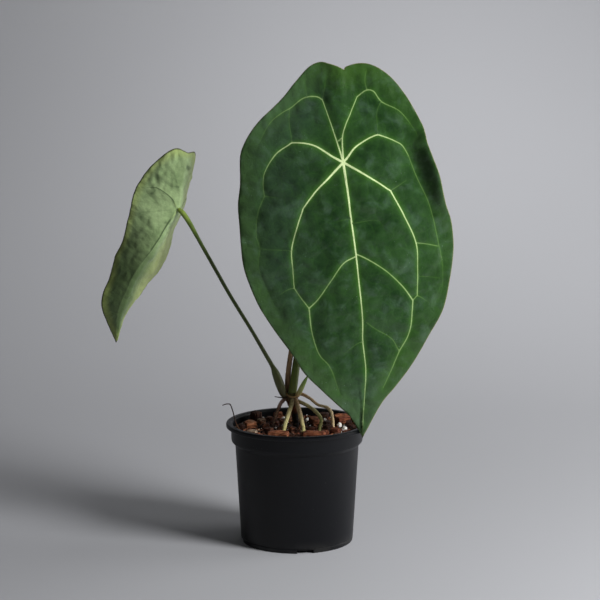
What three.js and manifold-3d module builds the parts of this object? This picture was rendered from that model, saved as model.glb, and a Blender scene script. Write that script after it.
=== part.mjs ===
// Potted aroid house plant in a round nursery pot. Millimetres, +Z up.
// The origin is the centre of the pot's foot, on the surface that the pot stands on.
// The front of the plant, where the large leaf faces, is -Y, and the smaller leaf is at -X.
import * as THREE from "three";
import { mergeVertices } from "three/addons/utils/BufferGeometryUtils.js";
import Module from "manifold-3d";

const wasm = await Module();
wasm.setup();

// Pot
const potHeight = 103;
const lipRadius = 60.8;
const lipDepth = 3.6;
const collarRadius = 56.4;
const collarFoot = 88;
const shoulderTop = 84;
const shoulderRadius = 53;
const footRadius = 48.2;
const potWall = 1.3;
const floorRise = 3.5;
const floorThickness = 1.5;
const padRadius = 22;
const ringInnerRadius = 43;
const notchWidth = 14;
const notchCount = 4;
const firstNotchAngle = 8.5;
const drainHoleRadius = 4;
const drainHoleCircle = 34;
const potSides = 60;

// Potting mix and what lies on it
const mixTop = 96;
const gap = 0.3;
const mixSides = 48;

// Leaf blades
const frontBladeThickness = 1.3;
const sideBladeThickness = 1.1;
const bladeSegments = 44;
const bladeRings = 10;

// The front blade's own plane: its hub, where the stalk joins, and its three directions
const frontHub = new THREE.Vector3(38.5, -18, 326.8);
const frontUp = new THREE.Vector3(-0.0732, 0.1221, 0.9898).normalize();
const frontRight = new THREE.Vector3(1, 0.0934, 0.0625).normalize();
const frontFacing = new THREE.Vector3().crossVectors(frontRight, frontUp).normalize();
const frontHalfWidth = 90;
const sidesBow = 16;
const tipBow = 14;
const lobesBow = 10;

// The front blade's margin in its own plane, to the right and up from the hub
const frontMarginRight = [
  [1, -231], [6, -223], [13, -211], [31, -190], [47, -172], [63, -149], [77, -128], [85, -102], [89, -83],
  [89, -54], [85, -39], [81, -15], [77, -2], [71, 24], [58, 52], [45, 70], [31, 80], [20, 82], [10, 80],
  [7, 77],
];
const frontMarginLeft = [
  [7, 77], [-5, 83], [-12, 85], [-21, 82], [-34, 70], [-54, 50], [-66, 40], [-74, 31], [-82, 17],
  [-86, -12], [-89, -45], [-88, -81], [-77, -116], [-66, -136], [-54, -155], [-31, -188], [-9, -212],
  [-3, -223], [1, -231],
];
const frontMarginCentre = [0, -60];

// The side blade hangs folded along its midrib, which is nearest the front: its left edge, midrib and
// right edge, from tip to notch. A lower number makes its fold sharper.
const sideFoldRoundness = 1.4;
const sideLeftEdge = [
  [-157, 27, 167], [-165, 22, 187], [-168, 19, 204], [-161, 18, 225], [-155, 17, 245], [-147, 17, 264],
  [-142, 19, 284], [-139, 21, 298], [-133, 22, 310], [-122, 21, 323], [-103, 20, 336], [-93, 24, 332],
];
const sideMidrib = [
  [-157, 27, 167], [-153, 19, 187], [-147, 14, 204], [-140, 11, 220], [-132, 9, 235], [-121, 9, 251],
  [-110, 12, 271], [-102, 15, 285], [-99, 18, 300], [-96, 21, 315], [-94, 23, 326], [-93, 24, 332],
];
const sideRightEdge = [
  [-157, 27, 167], [-150, 31, 187], [-141, 37, 202], [-133, 43, 214], [-121, 50, 228], [-112, 56, 246],
  [-107, 61, 264], [-101, 62, 280], [-97, 61, 295], [-91, 55, 312], [-87, 38, 331], [-93, 24, 332],
];

// Stem: centre line and radii from the mix up
const stemPath = [
  [-1, 0, 96.6], [-1.5, 0, 108], [-3, 0, 116], [-4.2, 0, 121], [-4.3, 0, 125], [-4.3, 0, 128.6],
];
const stemRadii = [2.6, 2.8, 3.4, 5.0, 5.4, 4.8];

// Stalks, shoot and roots: name, centre line, radius at each of its points, colour
const stalks = [
  {
    name: "front_leaf_stalk",
    path: [
      [-4, 0, 127], [-2.2, 1.5, 140], [0, 6, 156], [3, 11, 176], [9.5, 19, 210], [17, 24, 243],
      [26, 22, 276], [34, 11, 304], [37.8, -5, 320], [38.4, -15.9, 326.2],
    ],
    radii: [3.6, 3.5, 3.2, 2.8, 2.4, 2.2, 2.1, 2.3, 2.7, 2.3],
    sides: 10,
    colour: 0x7d9150,
  },
  {
    name: "side_leaf_stalk",
    path: [
      [-11.4, -2.4, 126.5], [-14.6, -2.2, 136], [-18.3, -1.6, 146], [-20.6, -1.2, 151], [-25.8, 0, 160],
      [-38, 2, 181], [-57, 5, 212], [-70, 7, 235], [-84, 9.5, 260], [-91.5, 11, 273.5], [-97, 12, 281.5],
      [-100.6, 13.8, 284.6],
    ],
    radii: [2.8, 3.8, 3.2, 2.1, 1.8, 1.6, 1.6, 1.6, 1.7, 2.1, 2.2, 1.8],
    sides: 10,
    colour: 0x5d6b3c,
  },
  {
    name: "old_stalk",
    path: [[-8.4, 4.2, 127], [-7.6, 4.6, 143], [-5, 6.6, 163], [-1.8, 9, 182]],
    radii: [2.2, 2.3, 2.1, 1.6],
    sides: 8,
    colour: 0x54332a,
  },
  {
    name: "new_shoot",
    path: [[0.2, -3.2, 126.4], [3.2, -4.6, 132], [6.2, -5.4, 138.5], [9.4, -6, 144.5]],
    radii: [2.0, 2.1, 1.7, 0.5],
    sides: 8,
    colour: 0x9db85e,
  },
];
const roots = [
  {
    name: "root_left_dark",
    path: [
      [-7, -1, 126], [-11.5, -2, 122.5], [-14.6, -3, 118], [-17.6, -5, 111], [-20, -7.5, 104],
      [-21.5, -9, 97.2],
    ],
    radii: [1.7, 1.6, 1.5, 1.4, 1.3, 1.3],
    sides: 8,
    colour: 0x6b4a44,
  },
  {
    name: "root_front_left",
    path: [[-3.8, -3, 124], [-4.6, -6.5, 119.5], [-7.2, -12, 112.5], [-10.4, -18, 103], [-11.6, -20.5, 97.2]],
    radii: [2.2, 2.0, 1.9, 1.7, 1.6],
    sides: 8,
    colour: 0xa8a06a,
  },
  {
    name: "root_front",
    path: [[-1.6, -3, 123.5], [0.8, -7.5, 118], [2.8, -12, 112], [4.8, -18, 104], [5.9, -21.5, 97.2]],
    radii: [2.1, 1.9, 1.8, 1.7, 1.6],
    sides: 8,
    colour: 0x9f9a64,
  },
  {
    name: "root_right_green",
    path: [
      [-0.5, 0, 121.5], [5, -1.5, 119.4], [11.1, -3, 116.4], [17, -6, 112], [20.6, -9.4, 107],
      [19.9, -12, 102], [19.2, -13.6, 97.2],
    ],
    radii: [1.8, 1.6, 1.5, 1.6, 1.5, 1.4, 1.3],
    sides: 8,
    colour: 0x7c8550,
  },
  {
    name: "root_right_tan",
    path: [
      [-2, 2, 127], [3.4, 2.4, 126.8], [11.1, 2, 123], [18, 1, 117.6], [25.9, -1, 115.6], [29, -2, 112.4],
      [30.4, -3, 107], [31, -3.6, 97.2],
    ],
    radii: [1.6, 1.5, 1.3, 1.2, 1.3, 1.4, 1.3, 1.3],
    sides: 8,
    colour: 0xa58a68,
  },
  {
    name: "root_small_curled",
    path: [[-9, -3.6, 128.2], [-7.6, -5.8, 127], [-4.2, -6.6, 126], [-0.6, -6, 126.3], [1.4, -4, 128]],
    radii: [0.7, 0.7, 0.7, 0.65, 0.5],
    sides: 8,
    colour: 0xa58a68,
  },
  {
    name: "root_wiry_left",
    path: [[-6, -3.6, 125.8], [-11, -6.8, 125.4], [-15.3, -8, 126], [-19, -9, 126.8]],
    radii: [0.5, 0.5, 0.45, 0.3],
    sides: 8,
    colour: 0x4d423c,
  },
  {
    name: "root_wiry_tip",
    path: [
      [-48, -12, 97.2], [-50.4, -12, 101], [-52.8, -12, 107], [-54.2, -12, 113.5], [-56.2, -12, 119.6],
      [-57, -12, 120.8], [-60, -12, 121], [-63.4, -12, 119.8],
    ],
    radii: [0.55, 0.55, 0.5, 0.5, 0.5, 0.5, 0.45, 0.4],
    sides: 8,
    colour: 0x3f3833,
  },
];

// Bark chips: [x, y, length, width, height, turn in degrees, tilt in degrees]
const barkChips = [
  [14, -38, 23, 10, 7.5, -6, 3], [-40, 4, 12, 10, 7, 20, 8], [-36, 30, 10, 8, 11, 40, 12],
  [-27, 0, 7, 8, 6, 15, 6], [-24, 30, 6, 7, 5, 0, 5], [-16, -36, 21, 11, 7, -8, 4],
  [-38, -22, 10, 7, 4.5, -20, 8], [-3, -14, 8, 6, 6, 30, 6], [16, 14, 11, 10, 8, 25, 8],
  [26, -13, 8, 7, 8, 50, 10], [33, -23, 10, 8, 7, -30, 8], [39, 22, 14, 12, 8, 30, 10],
  [-47, -6, 6, 7, 6, 10, 12], [-19, 11, 8, 6, 5, -15, 5], [-17, 45, 9, 7, 6, 10, 6],
  [24, 42, 9, 7, 6, -20, 8], [-31, 18, 7, 7, 6, 35, 8], [-3, 27, 11, 8, 6, 15, 5],
  [-13, 19, 6, 6, 5, 45, 8], [-34, -34, 8, 6, 5, 40, 6], [0, -48, 10, 5, 5, 4, 4],
  [48, -5, 5, 8, 5, 10, 8], [34, -34, 7, 6, 5, -45, 6], [27, 8, 7, 7, 6, 20, 8], [45, 8, 6, 7, 6, 0, 10],
  [-15, -47.5, 8, 4.5, 4, 15, 4], [-24, -18, 9, 7, 6, -30, 6], [12.5, -11, 6, 5, 5, 10, 6],
  [15, -24, 8, 6, 5, -10, 6], [24, -24, 5, 6, 5, 30, 6],
];
const barkColours = [0x7a4433, 0x8a5540, 0x4c302b, 0x93503a, 0x603a33];

// Perlite grains: [x, y, radius]
const perliteGrains = [
  [36.5, 6, 2.5], [40.5, -9, 2.8], [24.5, 30, 1.6], [9, 27, 2.3], [-12, 35, 1.9], [37, -14.5, 1.5],
];

const plant = new THREE.Group();

function degrees(angle) {
  return (angle * Math.PI) / 180;
}

// Random numbers that are the same on every run
function seededRandom(seed) {
  let state = seed;
  return () => {
    state = (state * 1664525 + 1013904223) % 4294967296;
    return state / 4294967296;
  };
}

function addPiece(name, geometry, colour, roughness) {
  const material = new THREE.MeshStandardMaterial({ color: colour, roughness, metalness: 0 });
  const piece = new THREE.Mesh(geometry, material);
  piece.name = name;
  plant.add(piece);
}

// Keeps only positions, joins shared corners and drops faces that have no area
function closedMesh(geometry) {
  geometry.deleteAttribute("normal");
  geometry.deleteAttribute("uv");
  const merged = mergeVertices(geometry, 1e-4);
  const corners = merged.index.array;
  const kept = [];
  for (let i = 0; i < corners.length; i += 3) {
    const [a, b, c] = [corners[i], corners[i + 1], corners[i + 2]];
    if (a !== b && b !== c && c !== a) {
      kept.push(a, b, c);
    }
  }
  merged.setIndex(kept);
  return merged;
}

function toSolid(geometry) {
  const merged = closedMesh(geometry);
  return new wasm.Manifold(new wasm.Mesh({
    numProp: 3,
    vertProperties: new Float32Array(merged.attributes.position.array),
    triVerts: new Uint32Array(merged.index.array),
  }));
}

function toGeometry(solid) {
  const mesh = solid.getMesh();
  const geometry = new THREE.BufferGeometry();
  geometry.setAttribute("position", new THREE.BufferAttribute(mesh.vertProperties, 3));
  geometry.setIndex(new THREE.BufferAttribute(mesh.triVerts, 1));
  geometry.computeVertexNormals();
  return geometry;
}

// A solid of revolution about Z. The profile is [radius, height] and starts and ends on the axis.
function turned(profile, sides) {
  const geometry = new THREE.LatheGeometry(profile.map(([r, z]) => new THREE.Vector2(r, z)), sides);
  geometry.rotateX(Math.PI / 2);
  return geometry;
}

// A round bar along a smooth curve, with its own radius at each point of the path
function taperedBar(path, radii, sides, extra = 0) {
  const curve = new THREE.CatmullRomCurve3(path.map((p) => new THREE.Vector3(...p)), false, "centripetal");
  const steps = (path.length - 1) * 3;
  const frames = curve.computeFrenetFrames(steps, false);
  const geometry = new THREE.CylinderGeometry(1, 1, 1, sides, steps);
  const position = geometry.attributes.position;
  for (let i = 0; i < position.count; i++) {
    const along = position.getY(i) + 0.5;
    const step = Math.round(along * steps);
    const centre = curve.getPointAt(step / steps);
    const place = Math.min(curve.getUtoTmapping(step / steps) * (radii.length - 1), radii.length - 1);
    const before = Math.min(Math.floor(place), radii.length - 2);
    const radius = THREE.MathUtils.lerp(radii[before], radii[before + 1], place - before) + extra;
    centre.addScaledVector(frames.binormals[step], position.getX(i) * radius);
    centre.addScaledVector(frames.normals[step], position.getZ(i) * radius);
    position.setXYZ(i, centre.x, centre.y, centre.z);
  }
  return geometry;
}

// A thin blade over a surface that is given on the unit disc. It is thickest in the middle.
function blade(surface, thickness) {
  const geometry = new THREE.SphereGeometry(1, bladeSegments, bladeRings);
  const position = geometry.attributes.position;
  const nudge = 1e-3;
  for (let i = 0; i < position.count; i++) {
    const across = position.getX(i);
    const along = -position.getZ(i);
    const height = position.getY(i);
    const point = surface(across, along);
    if (Math.abs(height) > 1e-6) {
      const toRight = surface(across + nudge, along).sub(point);
      const toTop = surface(across, along + nudge).sub(point);
      const outward = toRight.cross(toTop).normalize();
      point.addScaledVector(outward, (height * thickness) / 2);
    }
    position.setXYZ(i, point.x, point.y, point.z);
  }
  return geometry;
}

function planeCurve(points) {
  return new THREE.CatmullRomCurve3(points.map(([u, v]) => new THREE.Vector3(u, v, 0)), false, "centripetal");
}

function spaceCurve(points) {
  return new THREE.CatmullRomCurve3(points.map((p) => new THREE.Vector3(...p)), false, "centripetal");
}

// How far the front blade stands off its own plane: its sides, tip and lobes all bow back
function frontBow(u, v) {
  const sides = sidesBow * (u / frontHalfWidth) ** 2;
  const tip = tipBow * (Math.max(-v - 60, 0) / 170) ** 2;
  const lobes = lobesBow * (Math.max(v, 0) / 84) ** 2;
  return -sides - tip - lobes;
}

function frontBladeSurface() {
  const right = planeCurve(frontMarginRight);
  const left = planeCurve(frontMarginLeft);
  const [centreU, centreV] = frontMarginCentre;
  return (across, along) => {
    const reach = Math.hypot(across, along);
    const turn = Math.atan2(across, -along) / Math.PI;
    const edge = turn >= 0 ? right.getPointAt(turn) : left.getPointAt(1 + turn);
    const u = centreU + reach * (edge.x - centreU);
    const v = centreV + reach * (edge.y - centreV);
    return frontHub.clone()
      .addScaledVector(frontRight, u)
      .addScaledVector(frontUp, v)
      .addScaledVector(frontFacing, frontBow(u, v));
  };
}

function sideBladeSurface() {
  const left = spaceCurve(sideLeftEdge);
  const middle = spaceCurve(sideMidrib);
  const right = spaceCurve(sideRightEdge);
  return (across, along) => {
    const height = THREE.MathUtils.clamp(along, -1, 1);
    const halfChord = Math.sqrt(Math.max(1 - height * height, 1e-9));
    const share = THREE.MathUtils.clamp(across / halfChord, -1.02, 1.02);
    const t = (height + 1) / 2;
    const a = left.getPoint(t);
    const b = middle.getPoint(t);
    const c = right.getPoint(t);
    const slope = c.clone().sub(a).multiplyScalar(share / 2);
    const depth = Math.abs(share) ** sideFoldRoundness;
    const bend = a.clone().add(c).multiplyScalar(0.5).sub(b).multiplyScalar(depth);
    return b.clone().add(slope).add(bend);
  };
}

function potProfile() {
  const taper = (shoulderRadius - footRadius) / shoulderTop;
  const outerAt = (z) => footRadius + taper * z;
  const innerFloor = floorRise + floorThickness;
  return [
    [0, 0],
    [padRadius, 0],
    [padRadius + 2, floorRise],
    [ringInnerRadius, floorRise],
    [ringInnerRadius + 0.8, 0],
    [footRadius - 1.4, 0],
    [footRadius - 0.3, 1.1],
    [outerAt(3.2), 3.2],
    [outerAt(4) - 0.35, 3.9],
    [outerAt(4.6), 4.6],
    [outerAt(44), 44],
    [shoulderRadius, shoulderTop],
    [collarRadius - 0.3, collarFoot - 0.6],
    [collarRadius, collarFoot + 0.4],
    [collarRadius + 0.2, potHeight - lipDepth - 0.8],
    [lipRadius - 1, potHeight - lipDepth],
    [lipRadius, potHeight - lipDepth + 0.9],
    [lipRadius, potHeight - 0.9],
    [lipRadius - 0.9, potHeight],
    [collarRadius + 0.2, potHeight],
    [collarRadius - potWall, potHeight - 1.2],
    [collarRadius - potWall, collarFoot + 0.4],
    [shoulderRadius - potWall, shoulderTop + 0.4],
    [outerAt(44) - potWall, 44],
    [outerAt(innerFloor) - potWall, innerFloor],
    [padRadius + 1.5, innerFloor],
    [padRadius - 0.5, floorThickness],
    [0, floorThickness],
  ];
}

// The pot, with notches through the ring that it stands on and a drain hole beside each notch
function makePot() {
  let solid = toSolid(turned(potProfile(), potSides));
  for (let i = 0; i < notchCount; i++) {
    const angle = degrees(firstNotchAngle - 90 + (i * 360) / notchCount);
    const notch = new THREE.BoxGeometry(12, notchWidth, 2 * floorRise);
    notch.translate(footRadius - 2, 0, 0);
    notch.rotateZ(angle);
    const hole = new THREE.CylinderGeometry(drainHoleRadius, drainHoleRadius, 12, 20);
    hole.rotateX(Math.PI / 2);
    hole.translate(drainHoleCircle, 0, floorRise);
    hole.rotateZ(angle);
    solid = solid.subtract(toSolid(notch)).subtract(toSolid(hole));
  }
  return toGeometry(solid);
}

// The mix fills the pot up to its own level, with a hair of room all round
function makeMix() {
  const taper = (shoulderRadius - footRadius) / shoulderTop;
  const bottom = floorRise + floorThickness + gap;
  const inside = potWall + 2 * gap;
  return turned([
    [0, bottom],
    [footRadius + taper * bottom - inside, bottom],
    [shoulderRadius - inside, shoulderTop],
    [collarRadius - inside, collarFoot + 1.4],
    [collarRadius - inside, mixTop - 1.5],
    [collarRadius - inside - 3, mixTop],
    [0, mixTop],
  ], mixSides);
}

// A broken, slightly rounded block that lies on the mix
function makeChip([x, y, length, width, height, turn, tilt], seed) {
  const random = seededRandom(seed);
  const geometry = closedMesh(new THREE.BoxGeometry(2, 2, 2, 2, 2, 2));
  const position = geometry.attributes.position;
  for (let i = 0; i < position.count; i++) {
    const corner = new THREE.Vector3().fromBufferAttribute(position, i);
    const rounding = 1 - 0.11 * (corner.lengthSq() - 1);
    corner.multiplyScalar(rounding * (0.86 + 0.14 * random()));
    position.setXYZ(i, (corner.x * length) / 2, (corner.y * width) / 2, (corner.z * height) / 2);
  }
  geometry.rotateX(degrees(tilt));
  geometry.rotateY(degrees(-tilt / 2));
  geometry.rotateZ(degrees(turn));
  geometry.computeBoundingBox();
  geometry.translate(x, y, mixTop + gap - geometry.boundingBox.min.z);
  return geometry;
}

function makeGrain([x, y, radius], seed) {
  const random = seededRandom(seed);
  const geometry = closedMesh(new THREE.IcosahedronGeometry(radius, 1));
  const position = geometry.attributes.position;
  for (let i = 0; i < position.count; i++) {
    const corner = new THREE.Vector3().fromBufferAttribute(position, i);
    corner.multiplyScalar(0.82 + 0.18 * random());
    position.setXYZ(i, corner.x, corner.y, corner.z);
  }
  geometry.computeBoundingBox();
  geometry.translate(x, y, mixTop + gap - geometry.boundingBox.min.z);
  return geometry;
}

function barSolid({ path, radii, sides }, extra = 0) {
  return toSolid(taperedBar(path, radii, sides, extra));
}

// Stalks and roots all grow out of the stem. Each is cut back from the stem and from the ones before it.
function addStemAndWhatGrowsFromIt() {
  const stem = { path: stemPath, radii: stemRadii, sides: 20 };
  addPiece("stem", toGeometry(barSolid(stem)), 0x6a5138, 0.8);
  let taken = barSolid(stem, gap);
  for (const shoot of [...stalks, ...roots]) {
    const solid = barSolid(shoot).subtract(taken);
    addPiece(shoot.name, toGeometry(solid), shoot.colour, 0.6);
    taken = taken.add(barSolid(shoot, gap));
  }
}

addPiece("pot", makePot(), 0x1b1c1e, 0.55);
addPiece("potting_mix", makeMix(), 0x3a2620, 0.95);
addPiece("front_leaf", toGeometry(toSolid(blade(frontBladeSurface(), frontBladeThickness))), 0x2f5a2a, 0.42);
addPiece("side_leaf", toGeometry(toSolid(blade(sideBladeSurface(), sideBladeThickness))), 0x7c9468, 0.6);
addStemAndWhatGrowsFromIt();
barkChips.forEach((chip, i) => {
  const name = `bark_chip_${String(i + 1).padStart(2, "0")}`;
  addPiece(name, makeChip(chip, 11 + i), barkColours[i % barkColours.length], 0.9);
});
perliteGrains.forEach((grain, i) => {
  addPiece(`perlite_grain_${i + 1}`, makeGrain(grain, 71 + i), 0xe6e4dc, 0.9);
});

export default plant;
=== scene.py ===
import math
import random

import bpy
import numpy as np
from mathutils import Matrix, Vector, noise
from mathutils.geometry import delaunay_2d_cdt
from mathutils.kdtree import KDTree


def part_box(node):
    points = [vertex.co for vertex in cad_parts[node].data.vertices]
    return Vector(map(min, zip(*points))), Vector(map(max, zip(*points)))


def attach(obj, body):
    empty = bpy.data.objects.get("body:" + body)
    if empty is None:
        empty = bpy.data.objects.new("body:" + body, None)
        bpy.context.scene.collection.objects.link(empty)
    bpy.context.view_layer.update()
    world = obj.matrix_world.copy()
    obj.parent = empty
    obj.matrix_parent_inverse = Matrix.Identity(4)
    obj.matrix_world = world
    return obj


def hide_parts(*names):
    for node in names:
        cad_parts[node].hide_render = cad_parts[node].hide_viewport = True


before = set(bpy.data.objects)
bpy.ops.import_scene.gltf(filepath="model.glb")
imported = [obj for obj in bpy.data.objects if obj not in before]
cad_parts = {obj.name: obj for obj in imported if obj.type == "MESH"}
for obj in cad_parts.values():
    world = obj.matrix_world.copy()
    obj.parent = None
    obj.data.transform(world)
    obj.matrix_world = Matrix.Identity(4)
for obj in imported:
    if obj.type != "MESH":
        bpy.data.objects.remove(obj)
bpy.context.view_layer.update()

# A potted anthurium: black nursery pot, bark mix, a short stem on stilt roots, one large heart-shaped
# leaf that faces the viewer and a smaller one seen from beneath. Sizes are in millimetres here and
# become metres where a mesh is made.
mm = 0.001
print("frame loaded:", len(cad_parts), "nodes")


# Node helpers, for materials and for geometry trees

# A colour given as it looks on a screen, 0 to 255
def tone(red, green, blue):
    linear = []
    for part in (red, green, blue):
        share = part / 255
        linear.append(share / 12.92 if share <= 0.04045 else ((share + 0.055) / 1.055) ** 2.4)
    return (*linear, 1.0)


# Gives inputs of a node a value or another node's output each; three numbers for a colour are a tone
def plug(node, inputs):
    for key, value in inputs.items():
        socket = node.inputs[key]
        if isinstance(value, bpy.types.NodeSocket):
            node.id_data.links.new(value, socket)
        elif socket.type == "RGBA" and len(value) == 3:
            socket.default_value = tone(*value)
        else:
            socket.default_value = value


# One output of a new node, which joins the tree of the outputs that feed it
def addNode(kind, inputs=None, out=0, tree=None, **settings):
    inputs = inputs or {}
    fed = [value for value in inputs.values() if isinstance(value, bpy.types.NodeSocket)]
    node = (tree or fed[0].id_data).nodes.new(kind)
    for name, value in settings.items():
        setattr(node, name, value)
    plug(node, inputs)
    return node.outputs[out]


def calc(operation, *values):
    return addNode("ShaderNodeMath", dict(enumerate(values)), operation=operation)


def plus(a, b):
    return calc("ADD", a, b)


def minus(a, b):
    return calc("SUBTRACT", a, b)


def times(a, b):
    return calc("MULTIPLY", a, b)


def vectorCalc(operation, a, b):
    return addNode("ShaderNodeVectorMath", {0: a, 1: b}, operation=operation)


def axisOf(where, number):
    return addNode("ShaderNodeSeparateXYZ", {0: where}, number)


def combine(x=0.0, y=0.0, z=0.0):
    return addNode("ShaderNodeCombineXYZ", {0: x, 1: y, 2: z})


# Moves a value from low..high to newLow..newHigh with soft ends
def remap(value, low, high, newLow=0.0, newHigh=1.0):
    inputs = {"Value": value, "From Min": low, "From Max": high, "To Min": newLow, "To Max": newHigh}
    return addNode("ShaderNodeMapRange", inputs, interpolation_type="SMOOTHSTEP")


def softNoise(where, scale, detail=3.0, roughness=0.55, distortion=0.0):
    inputs = {"Vector": where, "Scale": scale, "Detail": detail, "Roughness": roughness}
    return addNode("ShaderNodeTexNoise", inputs | {"Distortion": distortion})


# Distance to the edges of random cells, for networks and cracks
def cellEdges(where, scale):
    inputs = {"Vector": where, "Scale": scale}
    return addNode("ShaderNodeTexVoronoi", inputs, "Distance", feature="DISTANCE_TO_EDGE")


def blend(share, a, b):
    return addNode("ShaderNodeMix", {0: share, 6: a, 7: b}, 2, data_type="RGBA")


# Lays coats over a first colour, each with its own share
def paintOver(colour, *coats):
    for share, coat in coats:
        colour = blend(share, colour, coat)
    return colour


def ramp(share, stops):
    result = addNode("ShaderNodeValToRGB", {0: share})
    marks = result.node.color_ramp.elements
    for index, (position, colour) in enumerate(stops):
        mark = marks[index] if index < 2 else marks.new(position)
        mark.position = position
        mark.color = tone(*colour)
    return result


def newMaterial(name, **values):
    material = bpy.data.materials.new(name)
    material.use_nodes = True
    tree = material.node_tree
    tree.nodes.clear()
    shader = tree.nodes.new("ShaderNodeBsdfPrincipled")
    plug(shader, {key.replace("_", " "): value for key, value in values.items()})
    plug(tree.nodes.new("ShaderNodeOutputMaterial"), {0: shader.outputs[0]})
    return material, shader


def finishMaterial(material, shader, colour, rough, height, strength, depth):
    bump = addNode("ShaderNodeBump", {"Height": height, "Strength": strength, "Distance": depth})
    plug(shader, {"Base Color": colour, "Roughness": rough, "Normal": bump})
    return material


def objectSpot(shader):
    return addNode("ShaderNodeTexCoord", out="Object", tree=shader.id_data)


# A number, or with out as Vector a place, that the mesh holds at each point
def readMesh(shader, name, out="Fac"):
    return addNode("ShaderNodeAttribute", out=out, tree=shader.id_data, attribute_name=name)


# Shader groups that several materials share

def newGroup(name, wanted, results):
    tree = bpy.data.node_groups.new(name, "ShaderNodeTree")
    for way, labels in (("INPUT", wanted), ("OUTPUT", results)):
        for label in labels:
            kind = "NodeSocketVector" if label == "where" else "NodeSocketFloat"
            tree.interface.new_socket(label, in_out=way, socket_type=kind)
    return tree, tree.nodes.new("NodeGroupInput").outputs, tree.nodes.new("NodeGroupOutput")


def useGroup(group, **inputs):
    return addNode("ShaderNodeGroup", inputs, node_tree=group).node.outputs


# Small pale specks of dust and lime, thick in some patches and absent in others
def makeDustSpecks():
    tree, given, result = newGroup("dustSpecks", ("where", "speckScale", "patchScale", "amount"), ("mask",))
    inputs = {"Vector": given["where"], "Scale": given["speckScale"]}
    distance = addNode("ShaderNodeTexVoronoi", inputs, "Distance")
    chance = addNode("ShaderNodeSeparateColor", {0: distance.node.outputs["Color"]})
    speck = remap(minus(times(chance, 0.22), distance), 0.0, 0.06)
    kept = remap(chance.node.outputs[1], 0.55, 0.75)
    patch = remap(softNoise(given["where"], given["patchScale"], 2.0), 0.48, 0.68)
    plug(result, {"mask": times(times(times(speck, kept), patch), given["amount"])})
    return tree


# Slow changes of tone over a surface, about 0.5 in the middle
def makePatchyTone():
    tree, given, result = newGroup("patchyTone", ("where", "scale", "contrast"), ("tone",))
    large = softNoise(given["where"], given["scale"], 2.0)
    small = softNoise(given["where"], times(given["scale"], 4.3), 4.0, 0.6)
    both = plus(times(large, 0.6), times(small, 0.4))
    spread = times(minus(both, 0.5), given["contrast"])
    plug(result, {"tone": addNode("ShaderNodeClamp", {0: plus(spread, 0.5)})})
    return tree


# Long streaks and cracks along the grain, which runs along the first axis of where
def makeFibreStreaks():
    tree, given, result = newGroup("fibreStreaks", ("where", "scale", "stretch"), ("streak", "crack"))
    x, y, z = (axisOf(given["where"], number) for number in range(3))
    squeezed = combine(calc("DIVIDE", x, given["stretch"]), y, z)
    cracks = cellEdges(squeezed, times(given["scale"], 0.4))
    plug(result, {"streak": softNoise(squeezed, given["scale"], 5.0, 0.65, 0.6),
                  "crack": remap(cracks, 0.0, 0.14, 1.0, 0.0)})
    return tree


# Turns the distance from a vein's edge (in mm) into the painted vein and the pale glow beside it
def makeVeinPaint():
    tree, given, result = newGroup("veinPaint", ("gap", "glow", "haloWidth"), ("vein", "halo"))
    core = remap(given["gap"], 0.34, -0.28)
    away = calc("MAXIMUM", calc("DIVIDE", given["gap"], given["haloWidth"]), 0.0)
    fading = calc("POWER", 2.718, times(away, -1.0))
    plug(result, {"vein": times(core, given["glow"]), "halo": times(fading, given["glow"])})
    return tree


# The finest net of a leaf: thin lines between small panels and the lift of each panel
def makeFineNet():
    tree, given, result = newGroup("fineNet", ("where", "netScale"), ("line", "lift"))
    wobble = addNode("ShaderNodeTexNoise", {"Vector": given["where"], "Scale": 9.0, "Detail": 2.0}, "Color")
    wobble = vectorCalc("SUBTRACT", wobble, (0.5, 0.5, 0.5))
    where = vectorCalc("ADD", given["where"], vectorCalc("MULTIPLY", wobble, (0.06, 0.06, 0.06)))
    coarse = cellEdges(where, given["netScale"])
    fine = cellEdges(where, times(given["netScale"], 3.1))
    line = calc("MAXIMUM", remap(coarse, 0.0, 0.05, 1.0, 0.0), remap(fine, 0.0, 0.07, 0.45, 0.0))
    plug(result, {"line": line, "lift": plus(remap(coarse, 0.0, 0.3), remap(fine, 0.0, 0.25, 0.0, 0.35))})
    return tree


dustSpecks = makeDustSpecks()
patchyTone = makePatchyTone()
fibreStreaks = makeFibreStreaks()
veinPaint = makeVeinPaint()
fineNet = makeFineNet()


# Mesh helpers

# Points about one step apart on a smooth curve through the given points, in any number of columns
def smoothCurve(points, step):
    knots = np.array(points, float)
    knots = np.vstack([2 * knots[0] - knots[1], knots, 2 * knots[-1] - knots[-2]])
    stretches = []
    for a, b, c, d in zip(knots[:-3], knots[1:-2], knots[2:-1], knots[3:]):
        ta = 0.0
        tb = ta + math.sqrt(np.linalg.norm(b - a))
        tc = tb + math.sqrt(np.linalg.norm(c - b))
        td = tc + math.sqrt(np.linalg.norm(d - c))
        count = max(2, math.ceil(np.linalg.norm(c - b) / step))
        t = np.linspace(tb, tc, count, endpoint=False)[:, None]
        ab = ((tb - t) * a + (t - ta) * b) / (tb - ta)
        bc = ((tc - t) * b + (t - tb) * c) / (tc - tb)
        cd = ((td - t) * c + (t - tc) * d) / (td - tc)
        abc = ((tc - t) * ab + (t - ta) * bc) / (tc - ta)
        bcd = ((td - t) * bc + (t - tb) * cd) / (td - tb)
        stretches.append(((tc - t) * abc + (t - tb) * bcd) / (tc - tb))
    return np.vstack(stretches + [knots[-2:-1]])


def lengthAlong(points):
    steps = np.linalg.norm(np.diff(points, axis=0), axis=1)
    return np.concatenate([[0.0], np.cumsum(steps)])


# From 0 at low to 1 at high; low may be the larger
def softStep(low, high, value):
    share = np.clip((value - low) / (high - low), 0.0, 1.0)
    return share * share * (3 - 2 * share)


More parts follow.
